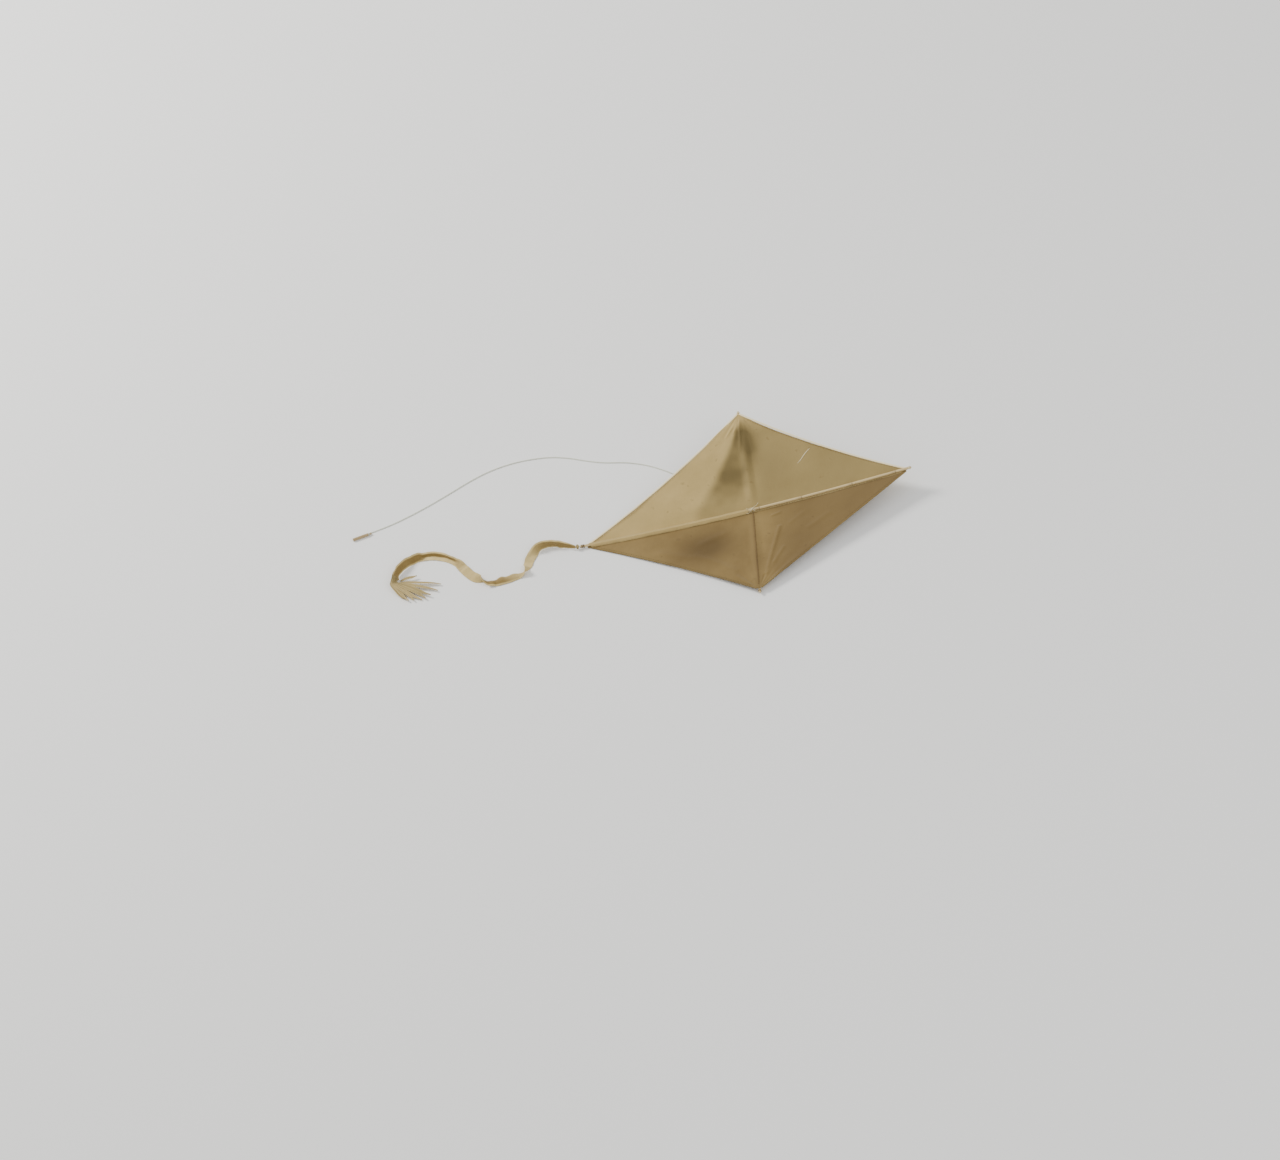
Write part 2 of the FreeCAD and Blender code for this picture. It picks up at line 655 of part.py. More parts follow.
def tail_knot_centre(place):
    """Just past the spine's tail end, on the ground."""
    tip, _ = tail_end()
    end = place.multVec(tip)
    radius = size("tail_knot_dia") / 2
    return Vector(end.x - radius - 2 * size("knot_air"), end.y, radius + GROUND_AIR)


def make_tail_knot(place):
    centre = tail_knot_centre(place)
    middle = Placement(centre, Rotation())
    ball = primitive("Sphere", "tail_knot_ball", middle, Radius="sizes.tail_knot_dia / 2")
    keep(ball, "tail_knot")
    print("tail knot at %.2f %.2f %.2f" % (centre.x, centre.y, centre.z))


def band(centre, across, half_width):
    """One cross-section of the ribbon: a thin rectangle."""
    normal = UP - across * across.z
    normal.normalize()
    half = normal * (size("ribbon") / 2)
    side = across * half_width
    points = [centre - side - half, centre + side - half, centre + side + half, centre - side + half]
    return Part.makePolygon(points + points[:1])


def strip(end, ending, index):
    """One strip: straight on from the ribbon's end, then bent to its heading. The strip on the
    inside of the turn bends first, so that each one clears the next."""
    angle, length = STRIPS[index]
    ending = ending.normalize()
    flat = Vector(-ending.y, ending.x, 0)
    pitch = size("ribbon_width") / len(STRIPS)
    half = (pitch - size("strip_gap")) / 2
    offset = pitch * (index + 0.5) - size("ribbon_width") / 2
    foot = end + flat * offset + ending * size("seam_gap") + UP * GROUND_AIR
    bend = foot + ending * pitch * (len(STRIPS) - index)
    heading = Vector(math.cos(math.radians(angle)), math.sin(math.radians(angle)), 0)
    across = Vector(-heading.y, heading.x, 0)
    mitre = (flat + across).normalize()
    corner = mitre * (half / mitre.dot(flat))
    tip = bend + heading * length
    outline = [foot - flat * half, foot + flat * half, bend + corner, tip + across * half,
               tip - across * half, bend - corner]
    return Part.Face(Part.makePolygon(outline + outline[:1])).extrude(UP * size("ribbon"))


def make_ribbon(place):
    """The ribbon along the ground, lofted through its cross-sections, and the strips cut in its end."""
    centre = tail_knot_centre(place)
    width = size("ribbon_width") / 2
    plan = [Vector(centre.x + x, centre.y + y, 0) for x, y, _, _ in RIBBON_ROUTE]
    sections = []
    for index, (_, _, share, turn) in enumerate(RIBBON_ROUTE):
        before, after = plan[max(index - 1, 0)], plan[min(index + 1, len(plan) - 1)]
        along = (after - before).normalize()
        flat = Vector(-along.y, along.x, 0)
        turned = math.radians(turn)
        across = flat * math.cos(turned) + UP * math.sin(turned)
        lift = abs(math.sin(turned)) * width * share + size("ribbon") / 2 * math.cos(turned) + GROUND_AIR
        rise = max(0.0, 1 - index / RISING_SECTIONS) * (centre.z - lift)
        sections.append(band(plan[index] + UP * (lift + rise), across, width * share))
    ribbon = Part.makeLoft(sections, True, True)
    plain("tail_ribbon", ribbon.Solids[0])
    strips = [strip(plan[-1], plan[-1] - plan[-2], index) for index in range(len(STRIPS))]
    plain("tail_strips", Part.makeCompound(strips))


# ---- the whole kite ----

def check_and_export():
    """Stops at a failed object; otherwise writes one file for each sub-part."""
    doc.recompute()
    failed = [item.Name for item in doc.Objects if "Invalid" in item.State or "Error" in item.State]
    for item in subparts:
        if item.Shape.isNull() or not item.Shape.isValid() or not item.Shape.Solids:
            failed.append(item.Label)
    if failed:
        raise RuntimeError("failed: %s" % ", ".join(failed))
    os.makedirs("parts", exist_ok=True)
    for item in subparts:
        item.Shape.exportStep("parts/%s.step" % item.Label)
        box = item.Shape.BoundBox
        print("%-20s %9.1f mm3  x %.1f %.1f  y %.1f %.1f  z %.2f %.2f" % (
            item.Label, item.Shape.Volume, box.XMin, box.XMax, box.YMin, box.YMax, box.ZMin, box.ZMax))


def main():
    fill_sheet()
    place = rest_place()
    make_spine(place)
    make_cross_spar(place)
    make_whippings(place)
    make_sail(place)
    make_tapes(place)
    make_patches(place)
    make_hems(place)
    make_lashing(place)
    make_tow_loop()
    make_line()
    make_peg()
    make_tail_loop(place)
    make_tail_knot(place)
    make_ribbon(place)
    check_and_export()
    print("tilt %.2f, pitch %.2f, height %.2f" % (
        math.degrees(rest_tilt()), math.degrees(rest_pitch()), rest_height()))


main()
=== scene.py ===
"""A diamond kite lying back up on a pale floor, with its ribbon tail, its flying line and its peg.

Lengths are in metres. The sail, the sticks and the hems are worked out flat, in the kite's own
frame, with the axis of the cross spar at its origin, and set_down() lays them on the floor.
"""
import math
import bpy
import numpy as np
from mathutils import Matrix


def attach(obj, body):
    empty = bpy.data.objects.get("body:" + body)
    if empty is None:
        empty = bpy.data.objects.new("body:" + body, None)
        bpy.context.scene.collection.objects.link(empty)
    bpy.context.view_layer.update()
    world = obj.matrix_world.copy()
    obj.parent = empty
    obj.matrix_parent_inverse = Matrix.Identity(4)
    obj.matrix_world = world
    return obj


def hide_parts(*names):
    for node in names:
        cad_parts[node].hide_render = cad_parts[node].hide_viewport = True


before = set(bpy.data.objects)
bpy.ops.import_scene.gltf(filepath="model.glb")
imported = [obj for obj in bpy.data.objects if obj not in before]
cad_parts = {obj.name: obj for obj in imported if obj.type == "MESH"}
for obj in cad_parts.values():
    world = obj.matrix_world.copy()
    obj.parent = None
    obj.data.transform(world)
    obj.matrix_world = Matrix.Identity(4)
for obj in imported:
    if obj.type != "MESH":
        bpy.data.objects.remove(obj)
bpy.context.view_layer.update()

# ---- sizes ----
NOSE, TAIL, WING = 0.436, 0.464, 0.295
WING_RISE, BOW_RISE = 0.049, 0.018
SLOPE = math.atan2(WING_RISE, WING)
SAIL_LEVEL, CORNER_LEVEL, SPINE_LEVEL = 0.005422, 0.053648, 0.010112
BOW_HALF, BOW_MIDDLE = (NOSE + TAIL) / 2, (NOSE - TAIL) / 2
BOW_RADIUS = (BOW_HALF ** 2 + BOW_RISE ** 2) / (2 * BOW_RISE)
TILT, PITCH, REST_HEIGHT = math.radians(9.11), math.radians(-3.38), 0.00615
STICK = 0.0035
HEM = 0.0020
LINE_LEVEL = 0.0015
KNOT = np.array([-0.48563, -0.00461, 0.00810])


# ---- vectors ----
def unit(vectors):
    """The same directions, each with a length of one."""
    return vectors / np.maximum(np.linalg.norm(vectors, axis=-1, keepdims=True), 1e-12)


def distance_along(line):
    """How far along a line each of its points is."""
    return np.concatenate([[0], np.cumsum(np.linalg.norm(np.diff(line, axis=0), axis=1))])


# ---- frame of the kite ----
def set_down(points):
    """Points of the kite's own frame, turned about X by the tilt, then about Y by the pitch, and raised."""
    p = np.asarray(points, float)
    x, y, z = p[..., 0], p[..., 1], p[..., 2]
    y, z = y * math.cos(TILT) - z * math.sin(TILT), y * math.sin(TILT) + z * math.cos(TILT)
    x, z = x * math.cos(PITCH) + z * math.sin(PITCH), -x * math.sin(PITCH) + z * math.cos(PITCH)
    return np.stack([x, y, z + REST_HEIGHT], axis=-1)


def bow(x):
    return BOW_RADIUS - np.sqrt(np.maximum(BOW_RADIUS ** 2 - (x - BOW_MIDDLE) ** 2, 0))


def sail_height(x, y):
    """Middle of the cloth over (x, y): straight lines from the wing corner to the bow under the spine."""
    share = np.clip(np.abs(y) / WING, 0, 0.9999)
    return (1 - share) * (SAIL_LEVEL + bow(x / (1 - share))) + share * CORNER_LEVEL


CORNERS = {"nose": (NOSE, 0.0), "far_wing": (0.0, WING), "tail": (-TAIL, 0.0), "near_wing": (0.0, -WING)}
EDGES = {"far_nose": ("nose", "far_wing", 0.012), "far_tail": ("far_wing", "tail", 0.012),
         "near_tail": ("tail", "near_wing", 0.008), "near_nose": ("near_wing", "nose", 0.0)}


def edge_plan(name, u):
    """Plan of an edge at shares u of it: a parabola's arc, hollowed towards the crossing."""
    start, end, hollow = EDGES[name]
    a, b = np.array(CORNERS[start]), np.array(CORNERS[end])
    along = unit(b - a)
    inward = np.array([-along[1], along[0]])
    if inward @ (a + b) > 0:
        inward = -inward
    u = np.asarray(u, float)[..., None]
    return a + (b - a) * u + inward * 4 * hollow * u * (1 - u)


# ---- making meshes ----
def linked(name, data):
    """An object of that data, in the scene."""
    obj = bpy.data.objects.new(name, data)
    bpy.context.scene.collection.objects.link(obj)
    return obj


def mesh_object(name, points, faces, uv=None, smooth=True):
    mesh = bpy.data.meshes.new(name)
    mesh.from_pydata([tuple(p) for p in np.asarray(points, float)], [], [tuple(f) for f in faces])
    mesh.update()
    if uv is not None:
        layer = mesh.uv_layers.new(name="UVMap")
        loops = np.empty(len(mesh.loops), int)
        mesh.loops.foreach_get("vertex_index", loops)
        layer.data.foreach_set("uv", np.asarray(uv, float)[loops].ravel())
    mesh.polygons.foreach_set("use_smooth", np.full(len(mesh.polygons), smooth))
    return linked(name, mesh)


def grid_faces(rows, cols, wrap=False):
    r = np.arange(rows - 1)[:, None]
    c = np.arange(cols if wrap else cols - 1)[None, :]
    n = (c + 1) % cols
    return np.stack([r * cols + c, r * cols + n, (r + 1) * cols + n, (r + 1) * cols + c], -1).reshape(-1, 4)


def thick_grid(name, low, high, uv):
    """A closed sheet from two grids of points, low and high, joined all round its rim."""
    rows, cols = low.shape[:2]
    n = rows * cols
    faces = grid_faces(rows, cols)
    index = np.arange(n).reshape(rows, cols)
    rim = np.concatenate([index[0, :-1], index[:-1, -1], index[-1, :0:-1], index[:0:-1, 0]])
    after = np.roll(rim, -1)
    sides = np.stack([rim, after, after + n, rim + n], -1)
    every = np.concatenate([faces[:, ::-1], faces + n, sides])
    points = np.concatenate([low.reshape(-1, 3), high.reshape(-1, 3)])
    every = facing_out(points, every)
    return mesh_object(name, points, every, np.concatenate([uv.reshape(-1, 2)] * 2))


def facing_out(points, faces):
    """The faces again, turned over if the volume inside them counts as negative."""
    a, b, c = (points[faces[:, i]] for i in (0, 1, 2))
    d = points[faces[:, 3]]
    volume = (a * np.cross(b, c)).sum() + (a * np.cross(c, d)).sum()
    return faces if volume >= 0 else faces[:, ::-1]


def frames_along(line, up=(0, 0, 1), closed=False):
    """For each point of a line: the way it goes, a side to its left, and the third direction."""
    along = unit(np.roll(line, -1, 0) - np.roll(line, 1, 0) if closed else np.gradient(line, axis=0))
    side = unit(np.cross(np.asarray(up, float), along))
    return along, side, np.cross(along, side)


def rings_around(line, side, over, radii, sides):
    """A ring of points round each point of a line, in the plane of side and over."""
    angle = np.linspace(0, 2 * math.pi, sides, endpoint=False)[:, None]
    around = side[:, None] * np.cos(angle) + over[:, None] * np.sin(angle)
    return line[:, None] + around * np.reshape(radii, (-1, 1, 1))


def ring_uv(run, sides):
    """UV of such rings: the distance along the line and the share of the way round."""
    share = np.linspace(0, 1, sides, endpoint=False)
    return np.stack(np.broadcast_arrays(run[:, None], share[None]), -1).reshape(-1, 2)


def tube_faces(rows, sides, closed=False, first=0):
    """Faces of a tube of that many rings, joined into a ring or with a lid on each end."""
    last = (rows - 1) * sides
    faces = [tuple(f) for f in grid_faces(rows, sides, wrap=True)]
    if closed:
        faces += [(last + c, last + (c + 1) % sides, (c + 1) % sides, c) for c in range(sides)]
    else:
        faces += [tuple(range(sides)), tuple(range(last, last + sides))[::-1]]
    return [tuple(first + k for k in face[::-1]) for face in faces]


# Share of the radius at each ring of a tube's domed end.
DOME = np.array([0.05, 0.5, 0.8, 0.96])


def tube_mesh(name, line, radii, sides=20, closed=False, up=(0, 0, 1), squash=1.0):
    """A tube of that radius at each point of the line, ended by domes, or joined into a ring."""
    line = np.asarray(line, float)
    along, side, over = frames_along(line, up, closed)
    radii = np.broadcast_to(radii, len(line)).astype(float)
    if not closed:
        setback = np.sqrt(1 - DOME ** 2)[:, None]
        back = line[0] - along[0] * radii[0] * setback
        ahead = line[-1] + along[-1] * radii[-1] * setback[::-1]
        line = np.concatenate([back, line, ahead])
        radii = np.concatenate([DOME * radii[0], radii, DOME[::-1] * radii[-1]])
        k = len(DOME)
        side, over = (np.concatenate([v[:1]] * k + [v] + [v[-1:]] * k) for v in (side, over))
    points = rings_around(line, side, over * squash, radii, sides).reshape(-1, 3)
    uv = ring_uv(distance_along(line), sides)
    return mesh_object(name, points, tube_faces(len(line), sides, closed), uv)


def circle(centre, side, third, radius, count=60):
    """A ring of points about a centre, in the plane of side and third."""
    t = np.linspace(0, 2 * math.pi, count, endpoint=False)[:, None]
    return centre + radius * (side * np.cos(t) + third * np.sin(t))


def smooth_line(points, count):
    """A line through the points, rounded as a Catmull-Rom curve, count points long and evenly spaced."""
    p = np.asarray(points, float)
    p = np.concatenate([2 * p[:1] - p[1:2], p, 2 * p[-1:] - p[-2:-1]])
    out = []
    for a, b, c, d in zip(p, p[1:], p[2:], p[3:]):
        t = np.linspace(0, 1, 24, endpoint=False)[:, None]
        out.append(0.5 * (2 * b + (c - a) * t + (2 * a - 5 * b + 4 * c - d) * t ** 2
                          + (3 * b - a - 3 * c + d) * t ** 3))
    fine = np.concatenate(out + [p[-2:-1]])
    run = distance_along(fine)
    at = np.linspace(0, run[-1], count)
    return np.stack([np.interp(at, run, fine[:, k]) for k in range(fine.shape[1])], -1)


def joined(name, objects):
    """Several objects as one."""
    bpy.ops.object.select_all(action="DESELECT")
    for obj in objects:
        obj.select_set(True)
    bpy.context.view_layer.objects.active = objects[0]
    bpy.ops.object.join()
    objects[0].name = name
    return objects[0]


def noise(x, y, scale, seed):
    """Smooth noise from -1 to 1: random values on a grid of that scale, blended by a cubic step."""
    table = np.random.default_rng(seed).uniform(-1, 1, (64, 64))
    u, v = np.asarray(x) / scale + 31.3, np.asarray(y) / scale + 17.7
    i, j = np.floor(u).astype(int), np.floor(v).astype(int)
    fu, fv = u - i, v - j
    fu, fv = fu * fu * (3 - 2 * fu), fv * fv * (3 - 2 * fv)
    a, b = table[i % 64, j % 64], table[(i + 1) % 64, j % 64]
    c, d = table[i % 64, (j + 1) % 64], table[(i + 1) % 64, (j + 1) % 64]
    return (a * (1 - fu) + b * fu) * (1 - fv) + (c * (1 - fu) + d * fu) * fv


def step(low, high, value):
    t = np.clip((value - low) / (high - low), 0, 1)
    return t * t * (3 - 2 * t)


# ---- camera ----
def turn_to(obj, x_axis, y_axis, z_axis, place):
    """Puts an object at a place, with its own axes along three directions."""
    matrix = np.eye(4)
    matrix[:3] = np.stack([x_axis, y_axis, z_axis, place], -1)
    obj.matrix_world = Matrix(matrix.tolist())


def make_camera():
    """A long lens far off, its frame rolled about its own axis."""
    azimuth, elevation, roll = (math.radians(a) for a in (10.249, 44.0, 18.172))
    aim, distance = np.array([-0.32181, -0.16724, 0.0]), 18.977
    right = np.array([math.cos(azimuth), math.sin(azimuth), 0])
    back = np.array([math.sin(azimuth) * math.cos(elevation), -math.cos(azimuth) * math.cos(elevation),
                     math.sin(elevation)])
    up = np.cross(back, right)
    c, s = math.cos(roll), math.sin(roll)
    data = bpy.data.cameras.new("camera")
    data.lens, data.sensor_width = 200.0, 36.0
    data.clip_start, data.clip_end = 0.5, 100.0
    camera = linked("camera", data)
    turn_to(camera, right * c - up * s, right * s + up * c, back, aim + back * distance)
    bpy.context.scene.camera = camera


make_camera()

# ---- flying line ----
LINE_ROUTE = (
    (-0.0193, 0.0188), (-0.0480, 0.0520), (-0.0865, 0.0928), (-0.1264, 0.1321), (-0.1676, 0.1701),
    (-0.2103, 0.2077), (-0.2475, 0.2383), (-0.2900, 0.2670), (-0.3430, 0.2905), (-0.3985, 0.3030),
    (-0.4475, 0.3235), (-0.4965, 0.3495), (-0.5500, 0.3680), (-0.6070, 0.3740), (-0.6640, 0.3715),
    (-0.7200, 0.3590), (-0.7730, 0.3360), (-0.8240, 0.3070), (-0.8750, 0.2790), (-0.9260, 0.2540),
    (-0.9780, 0.2320), (-1.0245, 0.2175), (-1.0600, 0.2093),
)
LINE_RADIUS = 0.0014


def make_line():
    data = bpy.data.curves.new("flying_line_cord", "CURVE")
    data.dimensions = "3D"
    data.bevel_depth = LINE_RADIUS
    data.bevel_resolution = 4
    data.resolution_u = 16
    data.use_fill_caps = True
    spline = data.splines.new("NURBS")
    spline.points.add(len(LINE_ROUTE) - 1)
    for point, (x, y) in zip(spline.points, LINE_ROUTE):
        point.co = (x, y, LINE_LEVEL, 1.0)
    spline.order_u = 3
    spline.use_endpoint_u = True
    return linked("flying_line_cord", data)


line_cord = make_line()


# ---- shared node groups ----
def group(name, outputs):
    """An empty node group, its inputs Vector and Scale, and the sockets of its outputs."""
    tree = bpy.data.node_groups.new(name, "ShaderNodeTree")
    tree.interface.new_socket("Vector", in_out="INPUT", socket_type="NodeSocketVector")
    tree.interface.new_socket("Scale", in_out="INPUT", socket_type="NodeSocketFloat")
    for label in outputs:
        tree.interface.new_socket(label, in_out="OUTPUT", socket_type="NodeSocketFloat")
    start, end = tree.nodes.new("NodeGroupInput"), tree.nodes.new("NodeGroupOutput")
    return tree, start.outputs["Vector"], start.outputs["Scale"], end.inputs


def plug(tree, value, socket):
    """Sets a socket to a value, or links another socket to it."""
    if isinstance(value, (int, float, tuple)):
        socket.default_value = value
    else:
        tree.links.new(value, socket)


def maths(tree, operation, *values):
    node = tree.nodes.new("ShaderNodeMath")
    node.operation = operation
    for value, socket in zip(values, node.inputs):
        plug(tree, value, socket)
    return node.outputs[0]


def vector_maths(tree, operation, vector, value):
    node = tree.nodes.new("ShaderNodeVectorMath")
    node.operation = operation
    tree.links.new(vector, node.inputs[0])
    plug(tree, value, node.inputs["Scale" if operation == "SCALE" else 1])
    return node.outputs[0]


def ranged(tree, value, low, high):
    """0 up to low, 1 from high on and a straight rise between them."""
    node = tree.nodes.new("ShaderNodeMapRange")
    node.inputs["From Min"].default_value, node.inputs["From Max"].default_value = low, high
    tree.links.new(value, node.inputs["Value"])
    return node.outputs[0]


def tone_mask(tree):
    node = tree.nodes.new("ShaderNodeAttribute")
    node.attribute_name = "tone"
    return node.outputs["Fac"]


def noise_node(tree, vector, scale, detail=3.0, rough=0.55):
    node = tree.nodes.new("ShaderNodeTexNoise")
    node.inputs["Scale"].default_value = scale
    node.inputs["Detail"].default_value = detail
    node.inputs["Roughness"].default_value = rough
    tree.links.new(vector, node.inputs["Vector"])
    return node.outputs["Fac"]


def weave_group():
    """Plain weave: warp and weft threads as sines, one over the other in turn, a little uneven."""
    tree, vector, scale, out = group("plain_weave", ["Height", "Slub"])
    wander = tree.nodes.new("ShaderNodeTexNoise")
    wander.inputs["Scale"].default_value = 60.0
    tree.links.new(vector, wander.inputs["Vector"])
    nudge = vector_maths(tree, "SCALE", wander.outputs["Color"], 0.0006)
    at = vector_maths(tree, "SCALE", vector_maths(tree, "ADD", vector, nudge), scale)
    split = tree.nodes.new("ShaderNodeSeparateXYZ")
    tree.links.new(at, split.inputs[0])
    u, v = (maths(tree, "MULTIPLY", split.outputs[k], math.pi) for k in (0, 1))
    warp, weft = (maths(tree, "ABSOLUTE", maths(tree, "SINE", wave)) for wave in (u, v))
    over = maths(tree, "MULTIPLY", maths(tree, "COSINE", u), maths(tree, "COSINE", v))
    over = maths(tree, "MULTIPLY_ADD", over, 0.5, 0.5)
    height = maths(tree, "ADD", maths(tree, "MULTIPLY", warp, over),
                   maths(tree, "MULTIPLY", weft, maths(tree, "SUBTRACT", 1.0, over)))
    tree.links.new(height, out["Height"])
    slub = noise_node(tree, vector_maths(tree, "MULTIPLY", vector, (900.0, 30.0, 1.0)), 1.0, 2.0)
    tree.links.new(slub, out["Slub"])
    return tree


def age_group():
    """Stains and dust: broad soft clouds, small spots and fine mottling."""
    tree, vector, scale, out = group("age", ["Clouds", "Spots", "Mottle"])
    at = vector_maths(tree, "SCALE", vector, scale)
    tree.links.new(noise_node(tree, at, 7.0, 5.0, 0.6), out["Clouds"])
    tree.links.new(ranged(tree, noise_node(tree, at, 55.0, 3.0, 0.5), 0.66, 0.74), out["Spots"])
    tree.links.new(noise_node(tree, at, 230.0, 4.0, 0.65), out["Mottle"])
    return tree


def grain_group():
    """Grain that runs along U: noise stretched a long way one way."""
    tree, vector, scale, out = group("long_grain", ["Grain", "Streak"])
    at = vector_maths(tree, "SCALE", vector, scale)
    for name, factor in (("Grain", (60.0, 26.0, 26.0)), ("Streak", (8.0, 7.0, 7.0))):
        tree.links.new(noise_node(tree, vector_maths(tree, "MULTIPLY", at, factor), 1.0, 4.0), out[name])
    return tree


def twist_group():
    """Strands of a cord laid in a spiral: a sine across a slanting line of U and V."""
    tree, vector, scale, out = group("laid_strands", ["Height", "Fuzz"])
    split = tree.nodes.new("ShaderNodeSeparateXYZ")
    tree.links.new(vector, split.inputs[0])
    along = maths(tree, "MULTIPLY", split.outputs[0], scale)
    slant = maths(tree, "ADD", along, maths(tree, "MULTIPLY", split.outputs[1], 3.0))
    wave = maths(tree, "ABSOLUTE", maths(tree, "SINE", maths(tree, "MULTIPLY", slant, math.pi)))
    tree.links.new(wave, out["Height"])
    tree.links.new(noise_node(tree, vector, 900.0, 2.0), out["Fuzz"])
    return tree


WEAVE, AGE, GRAIN, TWIST = weave_group(), age_group(), grain_group(), twist_group()


# ---- materials ----
def linear(color):
    """A linear colour from one given as 0 to 255 for a screen."""
    c = np.asarray(color, float) / 255
    return tuple(np.where(c <= 0.04045, c / 12.92, ((c + 0.055) / 1.055) ** 2.4)) + (1.0,)


def begin(name, *sources):
    """A material, its tree, its shader and the texture coordinates named."""
    material = bpy.data.materials.new(name)
    material.use_nodes = True
    tree = material.node_tree
    outputs = tree.nodes.new("ShaderNodeTexCoord").outputs
    return material, tree, tree.nodes["Principled BSDF"], *(outputs[source] for source in sources)


def use(tree, shared, vector, scale):
    node = tree.nodes.new("ShaderNodeGroup")
    node.node_tree = shared
    tree.links.new(vector, node.inputs["Vector"])
    node.inputs["Scale"].default_value = scale
    return node.outputs


def mix(tree, factor, a, b, kind="MIX"):
    node = tree.nodes.new("ShaderNodeMix")
    node.data_type = "RGBA"
    node.blend_type = kind
    for value, socket in ((factor, "Factor"), (a, "A"), (b, "B")):
        plug(tree, value, node.inputs[socket])
    return node.outputs["Result"]


def bump(tree, shader, height, strength, distance, before=None):
    node = tree.nodes.new("ShaderNodeBump")
    node.inputs["Strength"].default_value = strength
    node.inputs["Distance"].default_value = distance
    tree.links.new(height, node.inputs["Height"])
    if before is not None:
        tree.links.new(before, node.inputs["Normal"])
    tree.links.new(node.outputs[0], shader.inputs["Normal"])
    return node.outputs[0]


def cloth(name, light, dark, spot, threads=620.0, shade_and_tone_color=None):
    """Cotton: two tones in soft clouds, small spots, slubs and a weave that stands up a little. Where a shade
    colour is given, the tone mask mixes it in as painted shade, with some random tone.
    """
    material, tree, shader, uv, here = begin(name, "UV", "Object")
    weave, age = use(tree, WEAVE, uv, threads), use(tree, AGE, here, 1.0)
    color = mix(tree, ranged(tree, age["Clouds"], 0.36, 0.66), linear(dark), linear(light))
    # Painted shade: the tone mask darkens the cloth towards the shade colour.
    if shade_and_tone_color is not None:
        color = mix(tree, tone_mask(tree), color, linear(shade_and_tone_color))
    color = mix(tree, maths(tree, "MULTIPLY", age["Spots"], 0.35), color, linear(spot))
    color = mix(tree, 0.9, color, maths(tree, "MULTIPLY_ADD", weave["Slub"], 0.16, 0.92), "MULTIPLY")
    tree.links.new(color, shader.inputs["Base Color"])
    shader.inputs["Roughness"].default_value = 0.88
    shader.inputs["Specular IOR Level"].default_value = 0.22
    shader.inputs["Sheen Weight"].default_value = 0.15
    shader.inputs["Sheen Roughness"].default_value = 0.5
    rumple = bump(tree, shader, age["Mottle"], 0.25, 0.0004)
    bump(tree, shader, weave["Height"], 0.35, 0.00025, rumple)
    return material


def bamboo():
    material, tree, shader, uv, here = begin("bamboo", "UV", "Object")
    grain, age = use(tree, GRAIN, uv, 1.0), use(tree, AGE, here, 1.4)
    color = mix(tree, grain["Streak"], linear((198, 172, 116)), linear((238, 216, 164)))
    color = mix(tree, maths(tree, "MULTIPLY", grain["Grain"], 0.35), color, linear((150, 122, 74)))
    color = mix(tree, tone_mask(tree), color, linear((96, 74, 42)))
    color = mix(tree, maths(tree, "MULTIPLY", age["Spots"], 0.5), color, linear((98, 80, 48)))
    tree.links.new(color, shader.inputs["Base Color"])
    shader.inputs["Roughness"].default_value = 0.5
    bump(tree, shader, grain["Grain"], 0.4, 0.0004)
    return material


def cord_finish(name, color, pitch, source="UV", dark=0.55):
    """Laid cord: strands in a spiral, with painted shade where they meet, and a little fuzz."""
    material, tree, shader, uv = begin(name, source)
    twist = use(tree, TWIST, uv, pitch)
    groove_shade = tuple(c * dark for c in linear(color)[:3]) + (1.0,)
    shade = mix(tree, twist["Height"], groove_shade, linear(color))
    fuzz = maths(tree, "MULTIPLY", twist["Fuzz"], 0.3)
    tree.links.new(mix(tree, fuzz, shade, linear(color)), shader.inputs["Base Color"])
    shader.inputs["Roughness"].default_value = 0.85
    bump(tree, shader, twist["Height"], 0.7, 0.0004)
    return material


def wood():
    material, tree, shader, here = begin("turned_wood", "Object")
    turned = tree.nodes.new("ShaderNodeMapping")
    turned.inputs["Rotation"].default_value = (0.0, 0.0, math.radians(-13.0))
    tree.links.new(here, turned.inputs["Vector"])
    grain = use(tree, GRAIN, turned.outputs[0], 14.0)
    color = mix(tree, grain["Grain"], linear((196, 174, 130)), linear((150, 122, 78)))
    tree.links.new(color, shader.inputs["Base Color"])
    shader.inputs["Roughness"].default_value = 0.45
    bump(tree, shader, grain["Grain"], 0.3, 0.0003)
    return material


def floor_finish():
    material, _, shader = begin("floor")
    shader.inputs["Base Color"].default_value = linear((250, 250, 248))
    shader.inputs["Roughness"].default_value = 0.9
    shader.inputs["Specular IOR Level"].default_value = 0.1
    return material


FAR_CLOTH = cloth("far_cloth", (192, 167, 109), (177, 153, 97), (116, 95, 55), shade_and_tone_color=(114, 98, 59))
# The near cloth is the far cloth darkened and browned: painted shade on the near panels.
SHADED_NEAR_CLOTH = cloth("near_cloth", (146, 122, 73), (128, 105, 60), (88, 68, 38), shade_and_tone_color=(98, 78, 42))
# Hem cloth: for the far hems lightened as painted highlight, for the near hems darkened as painted shade.
HEM_CLOTH = cloth("hem_cloth", (255, 242, 202), (250, 232, 186), (214, 190, 140), threads=900.0)
SHADED_NEAR_HEM_CLOTH = cloth("near_hem_cloth_painted_shade", (136, 114, 66), (112, 92, 52), (82, 64, 36), threads=900.0)
TAPE_CLOTH = cloth("tape_cloth", (196, 174, 120), (170, 148, 98), (120, 98, 58), threads=800.0)
# The seam cloth is darkened as a painted shadow line.
SHADED_SEAM_CLOTH = cloth("seam_cloth", (122, 98, 56), (100, 78, 42), (76, 56, 30), threads=800.0)
RIBBON_CLOTH = cloth("ribbon_cloth", (222, 200, 142), (202, 179, 120), (146, 122, 74), threads=850.0,
                     shade_and_tone_color=(140, 116, 66))
